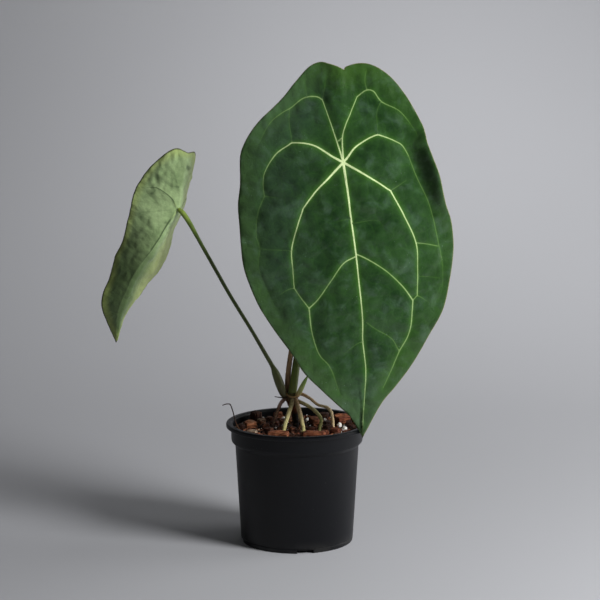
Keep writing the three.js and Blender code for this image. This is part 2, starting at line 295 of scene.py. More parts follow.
# A soft hump of height 1 at the middle, gone one width away
def hump(value, middle, width):
    return 1.0 - softStep(0.0, 1.0, np.abs(value - middle) / width)


def linkObject(name, mesh):
    piece = bpy.data.objects.new(name, mesh)
    bpy.context.scene.collection.objects.link(piece)
    return piece


# Holds a number or a place for each point of a mesh, under the name given to it
def storeOn(mesh, **layers):
    for name, values in layers.items():
        values = np.asarray(values, np.float32)
        kind, key = ("FLOAT", "value") if values.ndim == 1 else ("FLOAT_VECTOR", "vector")
        mesh.attributes.new(name, kind, "POINT").data.foreach_set(key, values.ravel())


def finishPiece(piece, slot, *nodes):
    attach(piece, "root")
    if nodes:
        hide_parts(*nodes)


# Geometry tree helpers

def geo(kind, inputs=None, out=0, tree=None, **settings):
    return addNode("GeometryNode" + kind, inputs, out, tree, **settings)


# A tree whose inputs are a geometry, whole numbers, other numbers and a material
def newGeometryTree(name, counts, numbers):
    tree = bpy.data.node_groups.new(name, "GeometryNodeTree")
    kinds = {"Geometry": "Geometry"} | dict.fromkeys(counts, "Int") | dict.fromkeys(numbers, "Float")
    for label, kind in (kinds | {"material": "Material"}).items():
        tree.interface.new_socket(label, in_out="INPUT", socket_type="NodeSocket" + kind)
    tree.interface.new_socket("Geometry", in_out="OUTPUT", socket_type="NodeSocketGeometry")
    return tree, tree.nodes.new("NodeGroupInput").outputs


# Shading, the material and realized instances, which every tree ends with; edges that turn by more
# than sharpAngle stay sharp
def endTree(geometry, material, smooth=True, sharpAngle=None):
    tree = geometry.id_data
    shaded = geo("SetShadeSmooth", {0: geometry, 2: smooth})
    if sharpAngle:
        turn = geo("InputMeshEdgeAngle", tree=tree)
        sharp = calc("GREATER_THAN", turn, math.radians(sharpAngle))
        shaded = geo("SetShadeSmooth", {0: shaded, "Selection": sharp, "Shade Smooth": False}, domain="EDGE")
    painted = geo("SetMaterial", {0: shaded, "Material": material})
    plug(tree.nodes.new("NodeGroupOutput"), {0: geo("RealizeInstances", {0: painted})})
    return tree


def readField(tree, name, kind="FLOAT"):
    return geo("InputNamedAttribute", {0: name}, tree=tree, data_type=kind)


def storeField(geometry, name, value, kind="FLOAT"):
    inputs = {"Geometry": geometry, "Name": name, "Value": value}
    return geo("StoreNamedAttribute", inputs, data_type=kind, domain="POINT")


# Moves a surface along its normal
def pushOut(geometry, lift):
    normal = geo("InputNormal", tree=geometry.id_data)
    offset = addNode("ShaderNodeVectorMath", {0: normal, "Scale": lift}, operation="SCALE")
    return geo("SetPosition", {0: geometry, "Offset": offset})


# Pushes a surface in and out along its normal by noise of one scale (waves in a metre)
def roughen(geometry, height, scale, seed, detail=2.0, where=None):
    if where is None:
        where = geo("InputPosition", tree=geometry.id_data)
    inputs = {"Vector": where, "W": seed, "Scale": scale, "Detail": detail}
    bumps = addNode("ShaderNodeTexNoise", inputs, noise_dimensions="4D")
    return pushOut(geometry, times(times(minus(bumps, 0.5), 2.0), height))


def join(parts):
    tree = parts[0].id_data
    node = tree.nodes.new("GeometryNodeJoinGeometry")
    for part in parts:
        tree.links.new(part, node.inputs[0])
    return node.outputs[0]


# Runs a tree on a base object and gives the result as a plain mesh object
def growMesh(name, base, tree, **values):
    modifier = base.modifiers.new("grow", "NODES")
    modifier.node_group = tree
    for item in tree.interface.items_tree:
        if item.name in values:
            modifier[item.identifier] = values[item.name]
    bpy.context.view_layer.update()
    evaluated = base.evaluated_get(bpy.context.evaluated_depsgraph_get())
    mesh = bpy.data.meshes.new_from_object(evaluated)
    mesh.name = name
    base.modifiers.remove(modifier)
    bpy.data.objects.remove(base)
    return linkObject(name, mesh)


# Leaf blades

# The net of veins in the plane of the large blade, measured from its hub: points across and up,
# then the widths and the brightnesses spread evenly from the first point to the last
leafVeins = [
    # The midrib and the six main veins that start at the hub
    ([(0, 0), (2, -25), (3, -45), (5, -76), (6, -101), (7, -130), (6, -149), (7, -173), (5, -194),
      (3, -210), (1, -230)], (2.1, 1.4, 1.2, 1.1, 0.9, 0.7, 0.5), (1.0, 1.0, 0.95, 0.85, 0.75, 0.62, 0.5)),
    ([(0, 0), (-12, -11), (-25, -23), (-34.5, -34), (-36, -36), (-37, -38.5), (-42, -51), (-48, -70),
      (-48, -86), (-48, -101)], (1.9, 1.2, 1.0, 0.9, 0.7), (1.0, 1.0, 0.9, 0.75, 0.6)),
    ([(0, 0), (11, -7), (27, -18), (36.5, -25), (38, -26), (39, -28), (48, -47), (57, -71), (57, -92),
      (55, -115)], (1.9, 1.2, 1.0, 0.8, 0.7), (1.0, 0.95, 0.85, 0.66, 0.5)),
    ([(0, 0), (-8, 5), (-22, 15), (-30, 18), (-40.5, 19.2), (-42, 19), (-43.5, 18), (-55, 11), (-65, -3),
      (-67, -11), (-67, -23)], (1.9, 1.2, 1.0, 0.8, 0.7), (1.0, 0.95, 0.85, 0.5, 0.3)),
    ([(0, 0), (4, 4), (10, 11), (16, 15), (24, 19), (29.5, 20.8), (31, 21), (32.5, 20.6), (45, 15), (51, 11),
      (56, 2)], (1.9, 1.2, 1.0, 0.8, 0.7), (1.0, 0.9, 0.85, 0.66, 0.36)),
    ([(0, 0), (-2, 9), (-8, 34), (-13, 53)], (1.4, 0.85, 0.75, 0.7), (1.0, 0.8, 0.66, 0.55)),
    ([(0, 0), (1, 21), (4, 30), (10, 42), (16, 54)], (1.4, 0.85, 0.75, 0.7), (1.0, 0.75, 0.64, 0.55)),
    # Their thinner ends, which run on towards the next vein or the margin
    ([(-48, -101), (-44, -108), (-37, -119)], (0.8, 0.8), (0.45, 0.5)),
    ([(-37, -119), (-36, -138), (-31, -158), (-23, -169), (-16, -192)], (0.9, 0.7, 0.6), (0.6, 0.4, 0.1)),
    ([(51, -119), (48, -139), (45, -148), (37, -160), (28, -177), (21, -190)], (0.9, 0.8, 0.7),
     (0.62, 0.46, 0.2)),
    ([(-67, -23), (-73, -36), (-76, -56), (-74, -66), (-76, -82), (-69, -105), (-60, -128)],
     (0.7, 0.6, 0.6), (0.22, 0.14, 0.0)),
    ([(56, 2), (61, -14), (71, -39), (76, -67), (79, -94), (76, -115), (68, -128)],
     (0.8, 0.7, 0.6), (0.24, 0.22, 0.0)),
    ([(-13, 53), (-17, 56), (-28, 56), (-39, 49), (-47, 45), (-58, 37), (-71, 16)],
     (0.85, 0.75, 0.6), (0.58, 0.34, 0.0)),
    ([(16, 54), (25, 59), (30, 58), (36, 49), (51, 40), (62, 25), (67, 15)],
     (0.85, 0.75, 0.6), (0.58, 0.36, 0.0)),
    # Loops and side veins
    ([(4, -79), (-5, -83), (-17, -97), (-29, -112), (-37, -119)], (0.9, 0.75, 0.9), (0.7, 0.46, 0.6)),
    ([(6, -77), (15, -82), (30, -93), (44, -108), (51, -119)], (0.9, 0.75, 0.9), (0.66, 0.46, 0.64)),
    ([(55, -115), (51, -119)], (0.7, 0.7), (0.4, 0.4)),
    ([(5, -150), (0, -152), (-13, -161)], (0.7, 0.5), (0.18, 0.02)),
    ([(10, -134), (17, -140), (31, -150), (36, -160)], (0.7, 0.7), (0.14, 0.24)),
    ([(-4, 17), (1, 21)], (0.8, 0.8), (0.5, 0.5)),
    ([(-48, -101), (-53, -102), (-64, -108)], (0.7, 0.5), (0.24, 0.0)),
    ([(57, -71), (64, -72), (76, -75)], (0.75, 0.6), (0.42, 0.3)),
    ([(55, -115), (60, -118), (66, -123)], (0.7, 0.5), (0.26, 0.0)),
    ([(38, -26), (42, -24), (53, -18)], (0.7, 0.5), (0.26, 0.08)),
    ([(-67, -23), (-62, -24), (-54, -26)], (0.6, 0.5), (0.2, 0.0)),
    ([(-74, -66), (-71, -67), (-48, -70)], (0.6, 0.6), (0.1, 0.12)),
    ([(-41, 20), (-42, 37), (-41, 47)], (0.6, 0.6), (0.14, 0.14)),
    ([(31, 21), (32, 41), (36, 49)], (0.6, 0.6), (0.1, 0.14)),
    ([(-13, 53), (-11, 60), (-8, 74)], (0.7, 0.5), (0.2, 0.0)),
    ([(25, 59), (24, 67), (26, 76)], (0.7, 0.6), (0.24, 0.12)),
    ([(-26, 57), (-26, 66), (-27, 74)], (0.6, 0.5), (0.12, 0.0)),
    ([(4, -51), (27, -51), (32, -67)], (0.6, 0.4), (0.14, 0.0)),
    ([(3, -47), (-12, -49)], (0.6, 0.4), (0.14, 0.0)),
    ([(56, -99), (66, -100), (76, -102)], (0.6, 0.5), (0.14, 0.08)),
]
mainVeins = 7

frontBlade = {
    "hub": (38.5, -18.0, 326.8), "up": (-0.0732, 0.1221, 0.9898), "right": (1.0, 0.0934, 0.0625),
    # How far the blade bows back at its sides, towards its tip and over its lobes
    "sideBow": 16.0, "tipBow": 14.0, "lobeBow": 10.0,
    "marginRight": [(1, -231), (6, -223), (13, -211), (20, -201), (31, -190), (47, -172), (63, -149),
                    (77, -128), (85, -102), (89, -83), (90, -73), (89, -54), (85, -39), (81, -15),
                    (77, -2), (73, 11), (71, 24), (67, 34), (58, 52), (45, 70), (31, 80), (20, 82),
                    (10, 80), (8, 79), (7, 77)],
    "marginLeft": [(7, 77), (2, 80), (-5, 83), (-12, 85), (-21, 82), (-34, 70), (-45, 58), (-54, 50),
                   (-66, 40), (-74, 31), (-81, 20), (-84, 12), (-86, -12), (-89, -29), (-89, -45), (-89, -64),
                   (-88, -81), (-84, -97), (-77, -116), (-66, -136), (-54, -155), (-44, -173),
                   (-31, -188), (-19, -201), (-9, -212), (-3, -223), (1, -231)],
    "thickness": 1.0, "rimThickness": 0.45, "spacing": 1.2, "veinScale": 1.0,
    "swell": 1.8, "swellReach": 8.0, "veinRise": 0.3, "ribDrop": 1.3,
    # How clearly its veins show: one share for each main vein and one for all the rest
    "veinShares": (1.0,),
    # Its waves push it towards the viewer, so that they leave its outline as it is
    "liftWay": (-0.024, -0.997, 0.073),
}

sideBlade = {
    "leftEdge": [(-157, 27, 167), (-165, 22, 187), (-168, 19, 204), (-161, 18, 225), (-155, 17, 245),
                 (-147, 17, 264), (-142, 19, 284), (-139, 21, 298), (-133, 22, 310), (-122, 21, 323),
                 (-103, 20, 336), (-93, 24, 332)],
    "midrib": [(-157, 27, 167), (-153, 19, 187), (-147, 14, 204), (-140, 11, 220), (-132, 9, 235),
               (-121, 9, 251), (-110, 12, 271), (-102, 15, 285), (-99, 18, 300), (-96, 21, 315),
               (-94, 23, 326), (-93, 24, 332)],
    "rightEdge": [(-157, 27, 167), (-150, 31, 187), (-141, 37, 202), (-133, 43, 214), (-121, 50, 228),
                  (-112, 56, 246), (-107, 61, 264), (-101, 62, 280), (-97, 61, 295), (-91, 55, 312),
                  (-87, 38, 331), (-93, 24, 332)],
    "hub": (-102, 15, 285), "foldRoundness": 1.4,
    "thickness": 0.9, "rimThickness": 0.4, "spacing": 0.8, "veinScale": 0.555,
    "swell": 1.3, "swellReach": 5.0, "veinRise": 0.2, "ribDrop": 0.4,
    "veinShares": (1.0, 0.2, 0.2, 1.0, 1.0, 0.25, 0.25, 0.3),
}


def unit(vector):
    vector = np.array(vector, float)
    return vector / np.linalg.norm(vector)


# The plane of the large blade, bowed back at its sides, tip and lobes
def placeOnFront(u, v):
    shape = frontBlade
    up = unit(shape["up"])
    right = unit(shape["right"])
    facing = np.cross(right, up)
    bow = -shape["sideBow"] * (u / 90) ** 2
    bow -= shape["tipBow"] * (np.maximum(-v - 60, 0) / 170) ** 2
    bow -= shape["lobeBow"] * (np.maximum(v, 0) / 84) ** 2
    return np.array(shape["hub"]) + np.outer(u, right) + np.outer(v, up) + np.outer(bow, facing)


# The three rails of the small blade as curves of equal stations, with the height along the midrib
# from the hub and the half width at each
def readSideRails():
    stations = np.linspace(0, 1, 400)
    rails = []
    for name in ("leftEdge", "midrib", "rightEdge"):
        knots = np.array(sideBlade[name], float)
        curve = smoothCurve(knots, 0.5)
        nearest = [int(np.argmin(np.linalg.norm(curve - knot, axis=1))) for knot in knots]
        nearest[0] = 0
        nearest[-1] = len(curve) - 1
        share = np.interp(np.arange(len(curve)), nearest, np.linspace(0, 1, len(knots)))
        rails.append(np.stack([np.interp(stations, share, curve[:, i]) for i in range(3)], axis=1))
    left, middle, right = rails
    height = lengthAlong(middle)
    atHub = int(np.argmin(np.linalg.norm(middle - np.array(sideBlade["hub"]), axis=1)))
    return left, middle, right, height - height[atHub], np.linalg.norm(right - left, axis=1) / 2


sideRails = readSideRails()


# The small blade: across is measured towards its left edge, so that the upper side faces away
def placeOnSide(u, v):
    left, middle, right, height, halfWidth = sideRails
    at = lambda rail: np.stack([np.interp(v, height, rail[:, i]) for i in range(3)], axis=1)
    reach = np.maximum(np.interp(v, height, halfWidth), 0.4)
    share = np.clip(-u / reach, -1.0, 1.0)[:, None]
    a, b, c = at(left), at(middle), at(right)
    return b + share * (c - a) / 2 + np.abs(share) ** sideBlade["foldRoundness"] * ((a + c) / 2 - b)


def frontMargin(step):
    right = smoothCurve(frontBlade["marginRight"], step)
    left = smoothCurve(frontBlade["marginLeft"], step)
    return np.vstack([right[:-1], left[:-1]])


def sideMargin(step):
    height, halfWidth = sideRails[3:]
    edge = np.stack([halfWidth, height], axis=1)
    steps = lengthAlong(edge)
    places = np.linspace(0, steps[-1], math.ceil(steps[-1] / step))
    ring = np.stack([np.interp(places, steps, edge[:, 0]), np.interp(places, steps, edge[:, 1])], axis=1)
    return np.vstack([ring[:-1], (ring * (-1, 1))[::-1][:-1]])


# Points, half widths and brightnesses along the veins, scaled to a blade
def sampleVeins(scale, step):
    rows = []
    for points, widths, glows in leafVeins:
        curve = smoothCurve(points, step / scale) * scale
        share = lengthAlong(curve)
        share = share / share[-1]
        width = np.interp(share, np.linspace(0, 1, len(widths)), widths) * math.sqrt(scale)
        glow = np.interp(share, np.linspace(0, 1, len(glows)), glows)
        rows.append(np.column_stack([curve, width / 2, glow]))
    return rows


# For each place, how far the nearest of some points is and which one that is
def nearestOf(points, places):
    tree = KDTree(len(points))
    for index, point in enumerate(points):
        tree.insert((point[0], point[1], 0.0), index)
    tree.balance()
    found = [tree.find((x, y, 0.0)) for x, y in places]
    return np.array([hit[2] for hit in found]), np.array([hit[1] for hit in found])


def insideLoop(points, loop):
    inside = np.zeros(len(points), bool)
    for (ax, ay), (bx, by) in zip(loop, np.roll(loop, -1, axis=0)):
        if ay == by:
            continue
        crossing = (points[:, 1] - ay) / (by - ay) * (bx - ax) + ax
        inside ^= ((ay > points[:, 1]) != (by > points[:, 1])) & (points[:, 0] < crossing)
    return inside


# Triangles in the plane of a blade: rings of points follow the margin and the veins, and an even
# net of points fills the panels between them
def triangulateBlade(margin, veins, spacing):
    sampleStep = 4
    lines = [row[::sampleStep, :2] for row in veins]
    lines = [line[insideLoop(line, margin * 0.995)] for line in lines]
    lines = [line for line in lines if len(line) > 1]
    besides = []
    for row in veins[:mainVeins]:
        along = np.gradient(row[:, :2], axis=0)
        across = np.stack([-along[:, 1], along[:, 0]], axis=1)
        across /= np.linalg.norm(across, axis=1)[:, None]
        for reach in (0.55, 1.0, 1.7):
            for way in (-1, 1):
                shifted = row[:, :2] + across * (row[:, 2:3] * reach + 0.12) * way
                besides.append(shifted[::sampleStep])
    special = np.vstack([margin] + lines)
    beside = np.vstack(besides)
    gap, _ = nearestOf(special, beside)
    beside = beside[(gap > 0.32 * spacing) & insideLoop(beside, margin)]
    low = margin.min(axis=0)
    high = margin.max(axis=0)
    rowStep = spacing * math.sqrt(3) / 2
    netU, netV = np.meshgrid(np.arange(low[0], high[0], spacing), np.arange(low[1], high[1], rowStep))
    netU[1::2] += spacing / 2
    net = np.column_stack([netU.ravel(), netV.ravel()])
    net = net[insideLoop(net, margin)]
    gap, _ = nearestOf(np.vstack([special, beside]), net)
    points = np.vstack([special, beside, net[gap > 0.62 * spacing]])
    count = len(margin)
    edges = [(i, (i + 1) % count) for i in range(count)]
    start = count
    for line in lines:
        edges += [(start + i, start + i + 1) for i in range(len(line) - 1)]
        start += len(line)
    corners = [Vector((x, y)) for x, y in points]
    spots, _, faces, *_ = delaunay_2d_cdt(corners, edges, [], 1, 1e-4)
    return np.array([tuple(spot) for spot in spots]), np.array([face for face in faces])


# How much a sheet that is held down along the veins swells between them, from 0 to about 1. It is
# settled on a net of one millimetre.
def swellBetweenVeins(spots, veins, reach):
    rounds, grip = 400, 2500
    low = spots.min(axis=0) - 3
    size = tuple(np.ceil(spots.max(axis=0) - low).astype(int) + 4)
    hold = np.zeros(size)
    for row in veins:
        cells = np.round(row[:, :2] - low).astype(int)
        cells = np.clip(cells, 0, np.array(size) - 1)
        np.maximum.at(hold, (cells[:, 0], cells[:, 1]), row[:, 3])
    spread = reach ** 2
    height = np.ones(size)
    for _ in range(rounds):
        wide = np.pad(height, 1, mode="edge")
        around = wide[2:, 1:-1] + wide[:-2, 1:-1] + wide[1:-1, 2:] + wide[1:-1, :-2]
        height = (1 + spread * around) / (1 + 4 * spread + grip * hold)
    place = spots - low
    base = np.floor(place).astype(int)
    share = place - base
    i, j = base[:, 0], base[:, 1]
    lower = height[i, j] * (1 - share[:, 0]) + height[i + 1, j] * share[:, 0]
    upper = height[i, j + 1] * (1 - share[:, 0]) + height[i + 1, j + 1] * share[:, 0]
    return lower * (1 - share[:, 1]) + upper * share[:, 1]


# A soft random rise and fall, with waves of one length across and another along the blade
def wander(spots, across, along, seed):
    return np.array([noise.noise((x / across, y / along, seed)) for x, y in spots])


def vertexNormals(points, faces):
    a, b, c = points[faces[:, 0]], points[faces[:, 1]], points[faces[:, 2]]
    flat = np.cross(b - a, c - a)
    normals = np.zeros_like(points)
    for corner in range(3):
        np.add.at(normals, faces[:, corner], flat)
    return normals / np.linalg.norm(normals, axis=1)[:, None]


# A closed blade with its two faces and its rim, and what its materials read from it
def makeBlade(name, shape, margin, place, lift, materials):
    veins = sampleVeins(shape["veinScale"], 0.3)
    shares = shape["veinShares"]
    for index, row in enumerate(veins):
        row[:, 3] *= shares[min(index, len(shares) - 1)]
    spots, faces = triangulateBlade(margin, veins, shape["spacing"])
    mains = np.vstack(veins[:mainVeins])
    others = np.vstack(veins[mainVeins:])
    gap, _ = nearestOf(mains, others[:, :2])
    samples = np.vstack([mains, others[gap > 0.8 * shape["veinScale"]]])
    veinGap, nearest = nearestOf(samples, spots)
    halfVein, glow = samples[nearest, 2], samples[nearest, 3]
    edgeGap, edgePlace = nearestOf(margin, spots)
    swell = swellBetweenVeins(spots, veins, shape["swellReach"])
    sheet = place(spots[:, 0], spots[:, 1])
    normals = vertexNormals(sheet, faces)
    way = unit(shape["liftWay"]) if "liftWay" in shape else normals
    sheet = sheet + normals * (shape["swell"] * (swell - 0.5))[:, None]
    sheet = sheet + way * lift(spots, edgeGap, edgePlace * shape["spacing"])[:, None]
    outward = vertexNormals(sheet, faces)
    ridge = np.exp(-((veinGap / np.maximum(halfVein * 1.1, 0.3)) ** 2)) * glow
    half = shape["thickness"] / 2 - (shape["thickness"] - shape["rimThickness"]) / 2 * np.exp(-edgeGap / 0.9)
    taper = softStep(-0.2, 2.0, halfVein * 2)
    over = sheet + outward * (half + shape["veinRise"] * ridge * taper)[:, None]
    under = sheet - outward * (half + shape["ribDrop"] * ridge * taper)[:, None]
    count = len(spots)
    flipped = faces[:, ::-1] + count
    directed = np.vstack([faces[:, [0, 1]], faces[:, [1, 2]], faces[:, [2, 0]]])
    known = {(a, b) for a, b in directed.tolist()}
    rim = [(b, a, a + count, b + count) for a, b in known if (b, a) not in known]
    mesh = bpy.data.meshes.new(name)
    corners = np.vstack([over, under]) * mm
    mesh.from_pydata(corners.tolist(), [], faces.tolist() + flipped.tolist() + sorted(rim))
    for material in materials:
        mesh.materials.append(material)
    sides = np.ones(len(mesh.polygons), np.int32)
    sides[:len(faces)] = 0
    mesh.polygons.foreach_set("material_index", sides)
    mesh.polygons.foreach_set("use_smooth", np.ones(len(mesh.polygons), bool))
    flat = np.column_stack([spots / (100 * shape["veinScale"]), np.zeros(count)])
    farBelow = flat + (0, 0, 5)    # gives the underside a pattern of its own
    storeOn(mesh, veinGap=np.tile(veinGap - halfVein, 2), veinGlow=np.tile(glow, 2),
            edgeGap=np.tile(edgeGap, 2), leafSpot=np.vstack([flat, farBelow]))
    mesh.update()
    print(name + ":", len(mesh.polygons), "faces")
    return linkObject(name, mesh)


# Waves of the large blade: its margin, the dark roll at its right edge, the fold above the hub, the
# puckers below the notch and the soft ripples of its panels
def liftFront(spots, edgeGap, edgePlace):
    u, v = spots[:, 0], spots[:, 1]
    wave = 0.9 * np.sin(edgePlace / 19) + 1.3 * np.sin(edgePlace / 37 + 1.3)
    lift = wave * np.exp(-edgeGap / 15)
    lift += 8.5 * hump(v, -14, 58) * np.exp(-((edgeGap / 8) ** 2)) * (u > 0)
    lift -= 3.0 * hump(v, -12, 56) * np.exp(-(((edgeGap - 17) / 9) ** 2)) * (u > 0)
    drift = 1.6 * wander(spots, 14, 14, 2.2)
    lift += 3.0 * np.exp(-(((u + 1.0 + drift) / 10.5) ** 2)) * softStep(6, 62, v)
    lift -= 1.2 * np.exp(-(((u - 15 + drift) / 4.5) ** 2)) * softStep(22, 50, v) * softStep(84, 60, v)
    lift += 0.5 * wander(spots, 1.8, 9, 6.1) * hump(u, 2, 9) * softStep(48, 66, v)
    lift += 0.8 * wander(spots, 6, 16, 4.4) * softStep(24, 50, v)
    lift += 0.5 * wander(spots, 13, 6.5, 8.8) * softStep(-110, -40, v) * softStep(20, -20, v)
    lift += 1.5 * wander(spots, 21, 21, 3.1) + 0.8 * wander(spots, 9, 7, 7.7)
    return lift


def liftSide(spots, edgeGap, edgePlace):
    u, v = spots[:, 0], spots[:, 1]
    lift = 0.8 * np.sin(edgePlace / 11) * np.exp(-edgeGap / 8)
    lift += 0.8 * wander(spots, 13, 13, 5.3) + 0.5 * wander(spots, 5, 5, 1.9)
    return lift + 0.9 * wander(spots, 3.2, 5.5, 3.7) * softStep(2, 22, v) * softStep(2, 8, u)


# The upper side of a blade: deep green panels, pale glowing veins, a yellower margin and patches of painted
# sheen
upperLeaf = {
    "deep": (22, 46, 22), "panel": (44, 74, 36), "margin": (58, 88, 34), "halo": (74, 124, 38),
    "vein": (208, 226, 168), "dimVein": (96, 142, 58), "edgeLine": (132, 124, 72),
    "dust": (150, 165, 160), "paintedSheen": (104, 128, 116),
    "haloWidth": 1.6, "netScale": 8.0, "patchScale": 3.2, "contrast": 3.0, "roughness": 0.33,
}

# The underside: pale grey-green, mottled, with raised ribs and a thin dark margin, painted shade towards its
# lower part and painted light on one half
underLeaf = {
    "pale": (172, 196, 142), "dull": (128, 152, 104), "spot": (62, 86, 50), "shade": (72, 92, 54),
    "rim": (164, 178, 96), "paintedLitHalf": (190, 204, 128), "rib": (160, 184, 122),
    "groove": (52, 70, 40), "edgeLine": (50, 46, 34),
    "haloWidth": 1.2, "netScale": 7.0, "patchScale": 3.4, "contrast": 2.4, "roughness": 0.5,
}


# What both sides read: the place on the blade, the gap to its margin, how bright the vein is, its
# paint, the fine net and the slow changes of tone
def readBlade(shader, look):
    where = readMesh(shader, "leafSpot", "Vector")
    glow = readMesh(shader, "veinGlow")
    paint = useGroup(veinPaint, gap=readMesh(shader, "veinGap"), glow=glow, haloWidth=look["haloWidth"])
    net = useGroup(fineNet, where=where, netScale=look["netScale"])
    patch = useGroup(patchyTone, where=where, scale=look["patchScale"], contrast=look["contrast"])["tone"]
    return where, readMesh(shader, "edgeGap"), glow, paint, net, patch


def makeUpperLeaf():
    look = upperLeaf
    material, shader = newMaterial("upperLeafGreen", Specular_IOR_Level=0.4)
    where, edgeGap, glow, paint, net, patch = readBlade(shader, look)
    across, up = axisOf(where, 0), axisOf(where, 1)
    # The yellower margin is the leaf's own colour; its share falls towards the right edge, painted shade that
    # darkens that side
    marginWithPaintedShade = times(remap(edgeGap, 0.0, 26.0, 1.0, 0.0), remap(across, 0.1, 0.7, 0.66, 0.2))
    # Painted sheen: bluish patches in soft spots, on the left lobe, down the left half and at the tip, where
    # the leaf would reflect light
    paintedSheen = remap(softNoise(where, 7.0, 4.0, 0.6, 0.5), 0.48, 0.74, 0.0, 0.17)
    paintedSheen = plus(paintedSheen, times(remap(across, 0.0, -0.35), remap(up, 0.1, 0.5, 0.0, 0.1)))
    paintedSheen = plus(paintedSheen, remap(across, -0.15, -0.6, 0.0, 0.08))
    paintedSheen = plus(paintedSheen, remap(up, -1.6, -2.2, 0.0, 0.14))
    dust = useGroup(dustSpecks, where=where, speckScale=60.0, patchScale=3.0, amount=0.5)["mask"]
    colour = paintOver(
        blend(patch, look["deep"], look["panel"]),
        (marginWithPaintedShade, look["margin"]),
        (paintedSheen, look["paintedSheen"]),
        (times(net["line"], 0.07), look["halo"]),
        (times(paint["halo"], 0.66), look["halo"]),
        (paint["vein"], blend(glow, look["dimVein"], look["vein"])),
        (dust, look["dust"]),
        (remap(edgeGap, 0.1, 0.7, 0.6, 0.0), look["edgeLine"]),
    )
    rough = plus(plus(look["roughness"], times(patch, 0.14)), times(dust, 0.3))
    height = plus(times(net["lift"], 0.7), times(softNoise(where, 90.0, 3.0), 0.14))
    return finishMaterial(material, shader, colour, rough, height, 0.5, 0.0005)


def makeUnderLeaf():
    look = underLeaf
    material, shader = newMaterial("underLeafGreen", IOR=1.45, Sheen_Weight=0.1, Sheen_Roughness=0.4)
    where, edgeGap, _, paint, net, patch = readBlade(shader, look)
    # The ribs are pale at the hub and dark further out, where they also fade
    squeezed = vectorCalc("MULTIPLY", where, (2.2, 1.0, 0.0))
    away = addNode("ShaderNodeVectorMath", {0: squeezed}, "Value", operation="LENGTH")
    seen = times(paint["vein"], remap(away, 0.7, 1.15, 0.8, 0.12))
    colour = paintOver(
        blend(patch, look["dull"], look["pale"]),
        (remap(softNoise(where, 5.5, 2.0, 0.5, 0.4), 0.6, 0.74, 0.0, 0.7), look["spot"]),
        (times(net["line"], 0.1), look["groove"]),
        # Painted shade: the blade grows darker towards its lower part, as if less light reaches it
        (remap(axisOf(where, 1), 0.0, -1.25, 0.0, 0.95), look["shade"]),
        (remap(edgeGap, 0.5, 6.0, 0.55, 0.0), look["rim"]),
        # Painted light: the half where across is below zero, the right half of the small blade, is made paler
        # and yellower as if more light falls on it
        (remap(axisOf(where, 0), -0.02, -0.3, 0.0, 0.6), look["paintedLitHalf"]),
        (seen, blend(remap(away, 0.1, 0.24), look["rib"], look["groove"])),
        (remap(edgeGap, 0.2, 0.9, 0.85, 0.0), look["edgeLine"]),
    )
    rough = plus(look["roughness"], times(patch, 0.12))
    height = plus(times(net["lift"], 0.8), times(softNoise(where, 80.0, 3.0), 0.12))
    return finishMaterial(material, shader, colour, rough, height, 0.5, 0.0004)


def makeLeaves():
    greens = (makeUpperLeaf(), makeUnderLeaf())
    margin = frontMargin(frontBlade["spacing"])
    front = makeBlade("front_leaf_blade", frontBlade, margin, placeOnFront, liftFront, greens)
    finishPiece(front, "upper_leaf", "front_leaf")
    margin = sideMargin(sideBlade["spacing"])
    side = makeBlade("side_leaf_blade", sideBlade, margin, placeOnSide, liftSide, greens)
    finishPiece(side, "side_leaf", "side_leaf")


makeLeaves()


# The pot

potShape = {
    "height": 103.0, "lipRadius": 60.8, "lipDepth": 3.6, "collarRadius": 56.4, "collarFoot": 88.0,
    "shoulderTop": 84.0, "shoulderRadius": 53.0, "footRadius": 48.2, "wall": 1.3,
    "padRadius": 22.0, "ringInnerRadius": 43.0, "floorRise": 3.5, "floorThickness": 1.5,
    "notches": 4, "notchWidth": 14.0, "notchHeight": 2.93, "firstNotch": 8.5 - 90,
    "holeRadius": 4.0, "holeCircle": 34.0, "sides": 144,
}
potLook = {"plastic": (5, 6, 9), "worn": (12, 13, 17), "dust": (96, 94, 90), "roughness": 0.46}


# The wall's section as radius, height and the rounding of that corner, from the middle of the foot
# round the outside and back down the inside
def potSection():
    shape = potShape
    taper = (shape["shoulderRadius"] - shape["footRadius"]) / shape["shoulderTop"]
    outerAt = lambda z: shape["footRadius"] + taper * z
    wall, top, collar, pad = shape["wall"], shape["height"], shape["collarRadius"], shape["padRadius"]
    lip, lipFoot = shape["lipRadius"], shape["height"] - shape["lipDepth"]
    rise, thickness, ring = shape["floorRise"], shape["floorThickness"], shape["ringInnerRadius"]
    shoulder, shoulderTop, collarFoot = shape["shoulderRadius"], shape["shoulderTop"], shape["collarFoot"]
    innerFloor = rise + thickness
    return [
        (0, 0, 0), (pad, 0, 0.8), (pad + 2, rise, 0.8), (ring, rise, 0.6), (ring + 0.8, 0, 0.3),
        (shape["footRadius"] - 0.2, 0, 0.7), (outerAt(3.3), 3.3, 0.2), (outerAt(4) - 0.4, 3.9, 0.2),
        (outerAt(4.6), 4.6, 0.3), (shoulder, shoulderTop, 0.9), (collar - 0.4, collarFoot - 0.8, 0.35),
        (collar, collarFoot + 0.6, 0.4), (collar + 0.2, lipFoot - 0.6, 0.8), (lip, lipFoot, 1.0),
        (lip, top, 1.2), (collar + 0.1, top, 0.9), (collar - wall, top - 1.6, 0.9),
        (collar - wall, collarFoot, 1.2), (shoulder - wall, shoulderTop, 1.2),
        (outerAt(innerFloor) - wall, innerFloor, 1.5), (pad + 1.5, innerFloor, 0.6),
        (pad - 0.5, thickness, 0.6), (0, thickness, 0),
    ]


turnedAxis = 1.0    # a section is swept round a ring this wide (mm), which is taken off its radii


